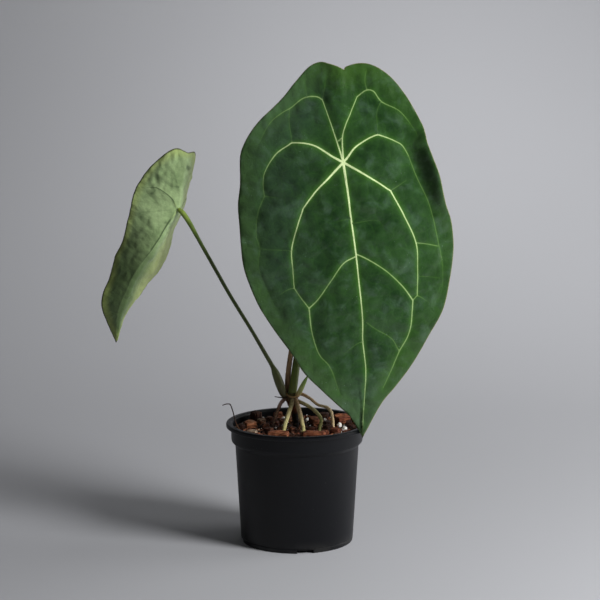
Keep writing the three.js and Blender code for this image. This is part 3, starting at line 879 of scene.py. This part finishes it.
# An open line of radius, height and corner rounding, ready to be swept round the middle
def sectionObject(name, section):
    mesh = bpy.data.meshes.new(name)
    corners = [((radius - turnedAxis) * mm, -height * mm, 0.0) for radius, height, _ in section]
    mesh.from_pydata(corners, [(i, i + 1) for i in range(len(corners) - 1)], [])
    storeOn(mesh, rounding=[row[2] * mm for row in section])
    return linkObject(name, mesh)


# Sweeps a rounded section round the middle and closes it at the axis
def addTurning(section, sides):
    line = geo("MeshToCurve", {0: section})
    rounding = readField(section.id_data, "rounding")
    inputs = {"Curve": line, "Radius": rounding, "Limit Radius": True, "Count": 5}
    rounded = geo("FilletCurve", inputs, mode="POLY")
    ring = geo("CurvePrimitiveCircle", {"Resolution": sides, "Radius": turnedAxis * mm})
    swept = geo("CurveToMesh", {"Curve": ring, "Profile Curve": rounded})
    return geo("FlipFaces", {0: geo("MergeByDistance", {0: swept, "Distance": 1e-5})})


# Copies of a shape, set this far out and round the middle at equal turns
def addAround(shape, radius, count, firstTurn):
    moved = geo("Transform", {0: shape, "Translation": combine(radius)})
    index = geo("InputIndex", tree=shape.id_data)
    turn = calc("MULTIPLY_ADD", calc("DIVIDE", index, count), math.tau, firstTurn)
    rotation = addNode("FunctionNodeEulerToRotation", {0: combine(z=turn)})
    points = geo("Points", {"Count": count})
    return geo("InstanceOnPoints", {"Points": points, "Instance": moved, "Rotation": rotation})


def makePotTree():
    numbers = ("firstTurn", "notchWidth", "notchHeight", "footRadius", "holeRadius", "holeCircle")
    _, given = newGeometryTree("mouldedPot", ("sides", "notches"), numbers)
    body = addTurning(given["Geometry"], given["sides"])
    cutDepth = 0.012
    block = geo("MeshCube", {"Size": combine(cutDepth, given["notchWidth"], given["notchHeight"])})
    drill = geo("MeshCylinder", {"Vertices": 28, "Radius": given["holeRadius"], "Depth": cutDepth})
    cutters = [addAround(shape, radius, given["notches"], given["firstTurn"])
               for shape, radius in ((block, given["footRadius"]), (drill, given["holeCircle"]))]
    whole = geo("RealizeInstances", {0: join(cutters)})
    cut = geo("MeshBoolean", {"Mesh 1": body, "Mesh 2": whole}, operation="DIFFERENCE")
    return endTree(geo("MergeByDistance", {0: cut, "Distance": 2e-6}), given["material"], sharpAngle=32)


# Black moulded plastic: satin, faintly grained, a little paler where hands and bench have rubbed it
def makePotPlastic():
    look = potLook
    material, shader = newMaterial("blackPlastic", Specular_IOR_Level=0.32)
    where = objectSpot(shader)
    patch = useGroup(patchyTone, where=where, scale=18.0, contrast=2.0)["tone"]
    dust = useGroup(dustSpecks, where=where, speckScale=420.0, patchScale=22.0, amount=0.5)["mask"]
    powder = remap(softNoise(where, 60.0, 4.0), 0.4, 0.7)
    film = calc("MAXIMUM", dust, times(remap(axisOf(where, 2), 0.0, 0.012, 0.14, 0.0), powder))
    colour = paintOver(look["plastic"], (times(patch, 0.6), look["worn"]), (film, look["dust"]))
    rough = plus(calc("MULTIPLY_ADD", patch, 0.16, look["roughness"] - 0.08), times(film, 0.3))
    ripples, grain = softNoise(where, 45.0, 2.0), softNoise(where, 1500.0, 2.0)
    height = calc("MULTIPLY_ADD", ripples, 2.2, times(grain, 0.5))
    return finishMaterial(material, shader, colour, rough, height, 0.35, 0.00012)


def makePot():
    shape = potShape
    pot = growMesh("nursery_pot", sectionObject("potSection", potSection()), makePotTree(),
                   sides=shape["sides"], notches=shape["notches"],
                   firstTurn=math.radians(shape["firstNotch"]),
                   notchWidth=shape["notchWidth"] * mm, notchHeight=2 * shape["notchHeight"] * mm,
                   footRadius=(shape["footRadius"] - 2) * mm, holeRadius=shape["holeRadius"] * mm,
                   holeCircle=shape["holeCircle"] * mm, material=makePotPlastic())
    finishPiece(pot, "black_plastic", "pot")
    print("pot:", len(pot.data.polygons), "faces")


makePot()


# The potting mix, its bark chips and its perlite

mixShape = {
    "top": 96.0, "gap": 0.3, "sides": 120, "bumps": 1.3, "bumpScale": 170.0, "chips": 30, "grains": 6,
    "scatterRadius": 51.5,
}
# How dark or red each named chip is, from 0 to 1; the others follow by chance
chipTones = {1: 0.52, 2: 0.8, 3: 0.22, 4: 0.3, 6: 0.45, 7: 0.97, 10: 0.2, 11: 0.6, 12: 0.66, 27: 0.1}
barkTones = [(0.0, (44, 30, 26)), (0.22, (88, 54, 42)), (0.42, (142, 88, 60)), (0.6, (108, 58, 46)),
             (0.8, (164, 106, 72)), (1.0, (164, 148, 128))]
soilTones = [(0.3, (8, 6, 5)), (0.55, (22, 16, 13)), (0.75, (54, 36, 28))]
perliteTones = [(0.3, (176, 168, 156)), (0.5, (226, 222, 214)), (0.7, (244, 242, 238))]


# Bark: layered fibres with dark cracks, each chip with a tone of its own
def makeBark():
    material, shader = newMaterial("chipBark", IOR=1.4)
    where = readMesh(shader, "grainSpot", "Vector")
    fibre = useGroup(fibreStreaks, where=where, scale=900.0, stretch=6.0)
    patch = useGroup(patchyTone, where=where, scale=160.0, contrast=2.4)["tone"]
    share = plus(readMesh(shader, "chipTone"), times(minus(patch, 0.5), 0.34))
    colour = paintOver(
        ramp(share, barkTones),
        (times(remap(fibre["streak"], 0.3, 0.7), 0.36), (52, 30, 24)),
        (remap(softNoise(where, 420.0, 4.0, 0.7), 0.58, 0.74, 0.0, 0.5), (186, 140, 104)),
        (times(fibre["crack"], 0.7), (26, 16, 13)),
    )
    height = minus(fibre["streak"], times(fibre["crack"], 0.5))
    return finishMaterial(material, shader, colour, remap(patch, 0.2, 0.8, 0.55, 0.85), height, 0.9, 0.0006)


# The crumbly body of the mix: almost black, with brown fibres
def makeMixSoil():
    material, shader = newMaterial("darkMix", IOR=1.35)
    where = objectSpot(shader)
    lumps = softNoise(where, 320.0, 5.0, 0.65)
    rough = remap(lumps, 0.3, 0.7, 0.7, 0.95)
    return finishMaterial(material, shader, ramp(lumps, soilTones), rough, softNoise(where, 900.0, 4.0),
                          0.9, 0.0008)


def makePerlite():
    material, shader = newMaterial("perliteWhite", IOR=1.4, Subsurface_Weight=0.1, Subsurface_Scale=0.002)
    where = objectSpot(shader)
    pits = softNoise(where, 900.0, 4.0, 0.6)
    soil = remap(softNoise(where, 260.0, 3.0), 0.6, 0.75, 0.0, 0.55)
    colour = blend(soil, ramp(pits, perliteTones), (120, 96, 78))
    return finishMaterial(material, shader, colour, remap(pits, 0.3, 0.7, 0.7, 0.95), pits, 1.0, 0.0006)


def makeMixTree():
    tree, given = newGeometryTree("bumpyMix", ("sides",), ("top", "bumpHeight", "bumpScale"))
    body = addTurning(given["Geometry"], given["sides"])
    height = axisOf(geo("InputPosition", tree=tree), 2)
    onTop = calc("GREATER_THAN", height, minus(given["top"], 0.0004))
    bumpy = roughen(body, times(onTop, given["bumpHeight"]), given["bumpScale"], 2.0, 3.0)
    return endTree(bumpy, given["material"])


def makeMixBody():
    shape = potShape
    inside = shape["wall"] + 2 * mixShape["gap"]
    bottom = shape["floorRise"] + shape["floorThickness"] + mixShape["gap"]
    taper = (shape["shoulderRadius"] - shape["footRadius"]) / shape["shoulderTop"]
    rim = shape["collarRadius"] - inside
    top = mixShape["top"] - mixShape["bumps"]
    section = [(0, bottom, 0), (shape["footRadius"] + taper * bottom - inside, bottom, 1),
               (shape["shoulderRadius"] - inside, shape["shoulderTop"], 1),
               (rim, shape["collarFoot"] + 1.4, 1), (rim, top - 0.6, 0)]
    section += [(radius, top, 0) for radius in np.linspace(rim - 0.8, 0, 56)]
    mix = growMesh("mix_body", sectionObject("mixSection", section), makeMixTree(), sides=mixShape["sides"],
                   top=top * mm, bumpHeight=mixShape["bumps"] * mm, bumpScale=mixShape["bumpScale"],
                   material=makeMixSoil())
    finishPiece(mix, "bark_mix", "potting_mix")


# A CAD node's shape as a new object with its shared corners joined
def copyOfNode(node):
    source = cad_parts[node].data
    corners, faces, known = [], [], {}
    for face in source.polygons:
        loop = []
        for corner in face.vertices:
            place = tuple(round(part, 7) for part in source.vertices[corner].co)
            if place not in known:
                known[place] = len(corners)
                corners.append(place)
            loop.append(known[place])
        if len(set(loop)) == 3:
            faces.append(loop)
    mesh = bpy.data.meshes.new(node + "_copy")
    mesh.from_pydata(corners, [], faces)
    return linkObject(node + "_copy", mesh)


# A lump grown from a CAD node. Its bark or pits follow its own axes, with the longest way first.
def growLump(name, node, slot, tree, offset, **values):
    base = copyOfNode(node)
    corners = np.array([vertex.co for vertex in base.data.vertices])
    centred = corners - corners.mean(axis=0)
    _, _, axes = np.linalg.svd(centred, full_matrices=False)
    storeOn(base.data, grainSpot=centred @ axes.T + offset)
    finishPiece(growMesh(name, base, tree, **values), slot, node)


# A rough lump from a plain one: large dents first, then fibres along the grain
def makeLumpTree(name, dent, fibre, levels):
    tree, given = newGeometryTree(name, (), ("dentHeight", "fibreHeight", "seed", "tone"))
    grain = readField(tree, "grainSpot", "FLOAT_VECTOR")
    squeezed = vectorCalc("MULTIPLY", grain, (0.22, 1.0, 1.0))
    first = geo("SubdivideMesh", {0: given["Geometry"], "Level": levels[0]})
    dented = roughen(first, given["dentHeight"], dent, given["seed"], 2.0, grain)
    second = geo("SubdivideMesh", {0: dented, "Level": levels[1]})
    rough = roughen(second, given["fibreHeight"], fibre, given["seed"], 3.0, squeezed)
    return endTree(storeField(rough, "chipTone", given["tone"]), given["material"])


def makeChips(bark):
    tree = makeLumpTree("barkLump", 130.0, 700.0, (2, 1))
    dice = random.Random(11)
    for number in range(1, mixShape["chips"] + 1):
        node = f"bark_chip_{number:02d}"
        low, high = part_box(node)
        size = min(high - low)
        growLump(f"rough_chip_{number:02d}", node, "bark", tree, (0.03 * number, 0.0, 0.0),
                 dentHeight=0.24 * size, fibreHeight=0.08 * size, seed=float(number),
                 tone=chipTones.get(number, 0.9 * dice.random() ** 2), material=bark)


def makeGrains(perlite):
    tree = makeLumpTree("perliteLump", 620.0, 1600.0, (1, 1))
    for number in range(1, mixShape["grains"] + 1):
        growLump(f"white_grain_{number}", f"perlite_grain_{number}", "perlite", tree, (0.0, 0.0, 0.0),
                 dentHeight=0.0011, fibreHeight=0.0003, seed=float(number), tone=0.5, material=perlite)


def randomValue(tree, seed, low, high, kind="FLOAT"):
    first, out = {"FLOAT": (2, 1), "INT": (4, 2), "FLOAT_VECTOR": (0, 0)}[kind]
    inputs = {first: low, first + 1: high, "Seed": seed}
    return addNode("FunctionNodeRandomValue", inputs, out, tree, data_type=kind)


# Strews turned and scaled copies of a few knobbly blocks over a surface
def makeScatterTree(name, blocks, tilt):
    tree, given = newGeometryTree(name, ("seed",), ("spacing", "smallest", "largest"))
    inputs = {"Mesh": given["Geometry"], "Distance Min": given["spacing"], "Density Max": 400000.0}
    points = geo("DistributePointsOnFaces", inputs | {"Seed": given["seed"]}, distribute_method="POISSON")
    toned = storeField(points, "chipTone", calc("POWER", randomValue(tree, 5, 0.0, 1.0), 2.4))
    kinds = []
    for index, size in enumerate(blocks):
        block = geo("MeshCube", {"Size": size, "Vertices X": 4, "Vertices Y": 3, "Vertices Z": 2}, tree=tree)
        lump = roughen(block, 0.16, 1.3, 3.7 * index + 1.0, 1.0)
        spot = vectorCalc("MULTIPLY", geo("InputPosition", tree=tree), (0.006, 0.006, 0.006))
        kinds.append(geo("GeometryToInstance", {0: storeField(lump, "grainSpot", spot, "FLOAT_VECTOR")}))
    turns = randomValue(tree, 1, (-tilt, -tilt, 0.0), (tilt, tilt, math.tau), "FLOAT_VECTOR")
    inputs = {"Points": toned, "Instance": join(kinds), "Pick Instance": True,
              "Instance Index": randomValue(tree, 2, 0, len(blocks) - 1, "INT"),
              "Rotation": addNode("FunctionNodeEulerToRotation", {0: turns}),
              "Scale": randomValue(tree, 3, given["smallest"], given["largest"])}
    return endTree(geo("InstanceOnPoints", inputs), given["material"], False)


# The round patch of mix that loose bits are strewn on
def strewnPatch(height):
    count = 64
    radius = mixShape["scatterRadius"]
    turns = [math.tau * i / count for i in range(count)]
    ring = [(radius * math.cos(turn) * mm, radius * math.sin(turn) * mm, height * mm) for turn in turns]
    mesh = bpy.data.meshes.new("strewnPatch")
    mesh.from_pydata(ring, [], [list(range(count))])
    return linkObject("strewnPatch", mesh)


chipBlocks = [(1.0, 0.62, 0.4), (0.9, 0.7, 0.5), (1.1, 0.42, 0.36), (0.8, 0.75, 0.3), (1.0, 0.5, 0.55)]
crumbBlocks = [(1.0, 0.8, 0.7), (1.0, 0.6, 0.5), (1.6, 0.3, 0.3)]
# Loose bits: height above the mix, spacing, smallest and largest size, seed, their blocks and how
# far they tilt
looseBits = {
    "small_bark": (0.6, 3.6, 3.0, 6.5, 4, chipBlocks, 0.55),
    "bark_crumbs": (0.0, 1.7, 0.8, 2.0, 9, crumbBlocks, 0.8),
    "perlite_crumbs": (1.6, 9.0, 0.7, 1.7, 3, crumbBlocks[:2], 0.8),
}


def makeMix():
    makeMixBody()
    bark = makeBark()
    perlite = makePerlite()
    makeChips(bark)
    makeGrains(perlite)
    for name, (lift, spacing, smallest, largest, seed, blocks, tilt) in looseBits.items():
        slot, material = ("perlite", perlite) if name == "perlite_crumbs" else ("bark", bark)
        tree = makeScatterTree(name + "Tree", blocks, tilt)
        piece = growMesh(name, strewnPatch(mixShape["top"] + lift), tree, spacing=spacing * mm,
                         smallest=smallest * mm, largest=largest * mm, seed=seed, material=material)
        finishPiece(piece, slot)
        print(name + ":", len(piece.data.polygons), "faces")


makeMix()


# The stem, the leaf stalks and the roots: bars that follow a path

leafGreen, olive, limeGreen = (84, 118, 50), (78, 92, 48), (138, 160, 74)
stalkSkin = {"wander": 0.1, "streak": 0.3, "streakTone": (40, 50, 26), "cork": 0.12,
             "corkTone": (120, 116, 70), "roughness": 0.38, "bump": 0.35}
rootSkin = {"wander": 0.3, "streak": 0.6, "streakTone": (72, 60, 34), "cork": 0.6,
            "corkTone": (190, 168, 124), "roughness": 0.55, "bump": 0.9}
drySkin = {"wander": 0.3, "streak": 0.7, "streakTone": (40, 24, 18), "cork": 0.35,
           "corkTone": (150, 110, 80), "roughness": 0.6, "bump": 1.0}

# Each has its path as across, back, up and radius, its colours from the first point to the last,
# the height and the scale of its wrinkles, and the height and the spacing of its rings
barPieces = {
    "stem": {
        "slot": "stem", "skin": drySkin, "sides": 40, "wrinkle": (0.55, 240), "rings": (0.5, 3.6),
        "colours": [(22, 16, 13), (18, 13, 11), (24, 17, 13), (150, 88, 46), (96, 66, 42), (92, 92, 48)],
        "path": [(-1, 0, 96.4, 2.6), (-1.5, 0, 108, 2.8), (-3, 0, 116, 3.4), (-4.2, 0, 121, 5.0),
                 (-4.3, 0, 125, 5.4), (-4.3, 0, 128.6, 4.8)],
    },
    "front_leaf_stalk": {
        "slot": "green_stalk", "skin": stalkSkin, "sides": 32, "wrinkle": (0.12, 160), "rings": (0.0, 9.0),
        "colours": [(112, 122, 56), (58, 84, 36), (50, 76, 32), (70, 102, 42), leafGreen, limeGreen],
        "path": [(-4, 0, 127, 3.6), (-2.2, 1.5, 140, 3.5), (0, 6, 156, 3.2), (3, 11, 176, 2.8),
                 (9.5, 19, 210, 2.4), (17, 24, 243, 2.2), (26, 22, 276, 2.1), (34, 11, 304, 2.3),
                 (37.8, -5, 320, 2.7), (38.4, -15.9, 326.2, 2.3)],
    },
    "side_leaf_stalk": {
        "slot": "olive_stalk", "skin": stalkSkin, "sides": 32, "wrinkle": (0.12, 150), "rings": (0.0, 9.0),
        "colours": [(100, 92, 58), (98, 106, 64), (84, 92, 56), olive, olive, olive, (84, 104, 46),
                    limeGreen],
        "path": [(-9.0, -1.8, 124.8, 2.4), (-11.4, -2.4, 127.5, 2.9), (-14.6, -2.2, 136, 3.8),
                 (-18.3, -1.6, 146, 3.2), (-20.6, -1.2, 151, 2.1), (-25.8, 0, 160, 1.8), (-38, 2, 181, 1.6),
                 (-57, 5, 212, 1.6), (-70, 7, 235, 1.6), (-84, 9.5, 260, 1.7), (-91.5, 11, 273.5, 2.1),
                 (-97, 12, 281.5, 2.2), (-100.6, 13.8, 284.6, 1.8)],
    },
    "old_stalk": {
        "slot": "dry_stalk", "skin": drySkin, "sides": 24, "wrinkle": (0.35, 300), "rings": (0.0, 6.0),
        "colours": [(116, 88, 62), (160, 126, 98), (168, 134, 104), (150, 116, 90)],
        "path": [(-8.4, 4.2, 127, 2.2), (-7.6, 4.6, 143, 2.3), (-5, 6.6, 163, 2.1), (-1.8, 9, 182, 1.6)],
    },
    "new_shoot": {
        "slot": "new_shoot", "skin": stalkSkin, "sides": 24, "wrinkle": (0.2, 260), "rings": (0.0, 6.0),
        "colours": [(220, 180, 130), (204, 210, 138), (166, 198, 102), (124, 162, 72)],
        "path": [(0.2, -3.2, 126.4, 2.0), (3.2, -4.6, 132, 2.1), (6.2, -5.4, 138.5, 1.7),
                 (9.4, -6, 144.5, 0.5)],
    },
    "root_left_dark": {
        "slot": "dark_root", "skin": rootSkin, "sides": 24, "wrinkle": (0.45, 300), "rings": (0.15, 2.4),
        "colours": [(96, 66, 54), (190, 154, 140), (100, 72, 60), (54, 36, 30), (44, 30, 24)],
        "path": [(-7, -1, 126, 1.7), (-11.5, -2, 122.5, 1.6), (-14.6, -3, 118, 1.5), (-17.6, -5, 111, 1.4),
                 (-20, -7.5, 104, 1.3), (-21.5, -9, 97.0, 1.3)],
    },
    "root_front_left": {
        "slot": "pale_root", "skin": rootSkin, "sides": 24, "wrinkle": (0.3, 260), "rings": (0.12, 2.8),
        "colours": [(130, 112, 76), (186, 174, 126), (190, 182, 130), (164, 158, 104)],
        "path": [(-3.8, -3, 124, 2.2), (-4.6, -6.5, 119.5, 2.0), (-7.2, -12, 112.5, 1.9),
                 (-10.4, -18, 103, 1.7), (-11.6, -20.5, 97.0, 1.6)],
    },
    "root_front": {
        "slot": "pale_root", "skin": rootSkin, "sides": 24, "wrinkle": (0.3, 270), "rings": (0.12, 2.6),
        "colours": [(150, 112, 78), (206, 178, 138), (190, 176, 126), (158, 156, 100)],
        "path": [(-1.6, -3, 123.5, 2.1), (0.8, -7.5, 118, 1.9), (2.8, -12, 112, 1.8), (4.8, -18, 104, 1.7),
                 (5.9, -21.5, 97.0, 1.6)],
    },
    "root_right_green": {
        "slot": "green_root", "skin": rootSkin, "sides": 24, "wrinkle": (0.3, 260), "rings": (0.12, 2.6),
        "colours": [(150, 134, 92), (204, 194, 142), (214, 206, 154), (176, 178, 106), (190, 182, 128)],
        "path": [(-0.5, 0, 121.5, 1.8), (5, -1.5, 119.4, 1.6), (11.1, -3, 116.4, 1.5), (17, -6, 112, 1.6),
                 (20.6, -9.4, 107, 1.5), (19.9, -12, 102, 1.4), (19.2, -13.6, 97.0, 1.3)],
    },
    "root_right_tan": {
        "slot": "tan_root", "skin": rootSkin, "sides": 24, "wrinkle": (0.3, 280), "rings": (0.15, 2.6),
        "colours": [(170, 132, 96), (212, 178, 142), (222, 194, 154), (234, 210, 168), (222, 192, 146)],
        "path": [(-2, 2, 127, 1.6), (3.4, 2.4, 126.8, 1.5), (11.1, 2, 123, 1.3), (18, 1, 117.6, 1.2),
                 (25.9, -1, 115.6, 1.3), (29, -2, 112.4, 1.4), (30.4, -3, 107, 1.3), (31, -3.6, 97.0, 1.3)],
    },
    "root_small_curled": {
        "slot": "tan_root", "skin": rootSkin, "sides": 16, "wrinkle": (0.1, 600), "rings": (0.0, 2.0),
        "colours": [(130, 96, 60), (178, 142, 96), (190, 150, 100)],
        "path": [(-9, -3.6, 128.2, 0.7), (-7.6, -5.8, 127, 0.7), (-4.2, -6.6, 126, 0.7),
                 (-0.6, -6, 126.3, 0.65), (1.4, -4, 128, 0.5)],
    },
    "root_wiry_left": {
        "slot": "dead_root", "skin": drySkin, "sides": 12, "wrinkle": (0.08, 900), "rings": (0.0, 2.0),
        "colours": [(48, 32, 24), (40, 32, 28)],
        "path": [(-6, -3.6, 125.8, 0.5), (-11, -6.8, 125.4, 0.5), (-15.3, -8, 126, 0.45),
                 (-19, -9, 126.8, 0.3)],
    },
    "root_wiry_tip": {
        "slot": "dead_root", "skin": drySkin, "sides": 12, "wrinkle": (0.08, 900), "rings": (0.0, 2.0),
        "colours": [(88, 58, 40), (44, 34, 30), (38, 32, 30), (60, 50, 44)],
        "path": [(-48, -12, 97.0, 0.55), (-50.4, -12, 101, 0.55), (-52.8, -12, 107, 0.5),
                 (-54.2, -12, 113.5, 0.5), (-56.2, -12, 119.6, 0.5), (-57, -12, 120.8, 0.5),
                 (-60, -12, 121, 0.45), (-63.4, -12, 119.8, 0.4)],
    },
}


# The line of a bar with its radius and its place along the way at each point
def barLine(name, path):
    curve = smoothCurve(path, 0.6)
    along = lengthAlong(curve[:, :3])
    mesh = bpy.data.meshes.new(name + "_line")
    mesh.from_pydata((curve[:, :3] * mm).tolist(), [(i, i + 1) for i in range(len(curve) - 1)], [])
    storeOn(mesh, barRadius=curve[:, 3] * mm, alongShare=along / along[-1], alongLength=along)
    return linkObject(name + "_line", mesh)


def makeBarTree():
    numbers = ("wrinkleHeight", "wrinkleScale", "ringHeight", "ringSpacing", "seed")
    tree, given = newGeometryTree("grownBar", ("sides",), numbers)
    line = geo("MeshToCurve", {0: given["Geometry"]})
    ring = geo("CurvePrimitiveCircle", {"Resolution": given["sides"], "Radius": 1.0})
    inputs = {"Curve": line, "Profile Curve": ring, "Scale": readField(tree, "barRadius"), "Fill Caps": True}
    bar = geo("CurveToMesh", inputs)
    turns = times(calc("DIVIDE", readField(tree, "alongLength"), given["ringSpacing"]), math.tau)
    crest = calc("POWER", calc("MAXIMUM", calc("SINE", turns), 0.0), 3.0)
    ringed = pushOut(bar, times(crest, given["ringHeight"]))
    rough = roughen(ringed, given["wrinkleHeight"], given["wrinkleScale"], given["seed"], 3.0)
    return endTree(rough, given["material"])


# Living tissue of a stalk or a root: its colours along the way, with streaks and corky spots
def makeBarSkin(name, colours, look):
    material, shader = newMaterial(name, IOR=1.42)
    where = objectSpot(shader)
    drift = times(minus(softNoise(where, 130.0, 3.0), 0.5), look["wander"])
    stops = [(index / (len(colours) - 1), colour) for index, colour in enumerate(colours)]
    lengthwise = addNode("ShaderNodeMapping", {"Vector": where, "Scale": (1.0, 1.0, 0.16)})
    streak = softNoise(lengthwise, 700.0, 4.0, 0.6)
    cork = remap(softNoise(where, 520.0, 4.0, 0.65), 0.56, 0.7, 0.0, look["cork"])
    colour = paintOver(
        ramp(plus(readMesh(shader, "alongShare"), drift), stops),
        (remap(streak, 0.5, 0.72, 0.0, look["streak"]), look["streakTone"]),
        (cork, look["corkTone"]),
    )
    rough = calc("MULTIPLY_ADD", cork, 0.35, look["roughness"])
    height = plus(streak, times(cork, 0.8))
    return finishMaterial(material, shader, colour, rough, height, look["bump"], 0.0005)


def makeBars():
    tree = makeBarTree()
    for seed, (node, bar) in enumerate(barPieces.items()):
        wrinkle, rings = bar["wrinkle"], bar["rings"]
        piece = growMesh("grown_" + node, barLine(node, bar["path"]), tree, sides=bar["sides"],
                         wrinkleHeight=wrinkle[0] * mm, wrinkleScale=wrinkle[1], ringHeight=rings[0] * mm,
                         ringSpacing=rings[1], seed=seed * 1.7,
                         material=makeBarSkin(node + "_skin", bar["colours"], bar["skin"]))
        finishPiece(piece, bar["slot"], node)
    print("stem, stalks and roots:", len(barPieces), "pieces")


makeBars()


# Floor, light and camera

studio = {
    "sweepStart": 0.5, "sweepRadius": 1.5, "sweepHalfWidth": 8.0, "sweepFront": -8.0, "sweepTop": 5.0,
    "paper": (186, 187, 191), "air": (120, 122, 128), "airStrength": 0.08,
    "cameraAt": (0.0026, -1.5, 0.436), "cameraTilt": 81.38, "cameraLens": 107.16,
}
# Each lamp's place, target, size, power, spread in degrees and whether smooth things mirror it
lamps = {
    "keyLight": ((1.1, -0.7, 0.76), (0.0, 0.0, 0.2), 0.6, 27.2, 180.0, False),
    "fillLight": ((-1.2, -2.2, 1.6), (0.0, 0.0, 0.2), 2.4, 3.1, 180.0, True),
    "sideLight": ((1.7, 0.4, 0.8), (-0.2, 0.1, 0.25), 1.3, 11.0, 180.0, True),
    "wallLight": ((0.4, 0.8, 1.2), (0.0, 1.35, 0.25), 0.5, 3.45, 126.0, False),
}


# One sheet of pale paper that lies on the floor and rises behind in a wide curve
def makeSweep():
    look = studio
    start, radius = look["sweepStart"], look["sweepRadius"]
    profile = [(look["sweepFront"], 0.0)]
    for step in range(33):
        angle = math.radians(90 * step / 32)
        profile.append((start + radius * math.sin(angle), radius * (1 - math.cos(angle))))
    profile.append((start + radius, look["sweepTop"]))
    half = look["sweepHalfWidth"]
    corners = [(x, y, z) for y, z in profile for x in (-half, half)]
    faces = [(2 * i, 2 * i + 1, 2 * i + 3, 2 * i + 2) for i in range(len(profile) - 1)]
    mesh = bpy.data.meshes.new("paper_sweep")
    mesh.from_pydata(corners, [], faces)
    mesh.polygons.foreach_set("use_smooth", np.ones(len(mesh.polygons), bool))
    material, shader = newMaterial("sweepPaper", Roughness=0.85)
    darker = [part * 0.94 for part in tone(*look["paper"])[:3]] + [1.0]
    plug(shader, {"Base Color": blend(softNoise(objectSpot(shader), 1.2, 2.0), darker, look["paper"])})
    mesh.materials.append(material)
    linkObject("paper_sweep", mesh)


def addLights():
    for name, (place, target, size, power, spread, shines) in lamps.items():
        lamp = bpy.data.lights.new(name, "AREA")
        lamp.shape = "DISK"
        lamp.size = size
        lamp.energy = power
        lamp.spread = math.radians(spread)
        holder = bpy.data.objects.new(name, lamp)
        bpy.context.scene.collection.objects.link(holder)
        holder.location = place
        holder.rotation_euler = (Vector(target) - Vector(place)).to_track_quat("-Z", "Y").to_euler()
        holder.visible_glossy = shines
    world = bpy.data.worlds.new("studioAir")
    world.use_nodes = True
    plug(world.node_tree.nodes["Background"], {"Color": studio["air"], "Strength": studio["airStrength"]})
    bpy.context.scene.world = world


def addCamera():
    lens = bpy.data.cameras.new("camera")
    lens.lens = studio["cameraLens"]
    lens.sensor_width = 36
    lens.clip_end = 30
    camera = bpy.data.objects.new("camera", lens)
    bpy.context.scene.collection.objects.link(camera)
    camera.location = studio["cameraAt"]
    camera.rotation_euler = (math.radians(studio["cameraTilt"]), 0, 0)
    bpy.context.scene.camera = camera


makeSweep()
addLights()
addCamera()
bpy.context.scene.view_settings.view_transform = "Standard"
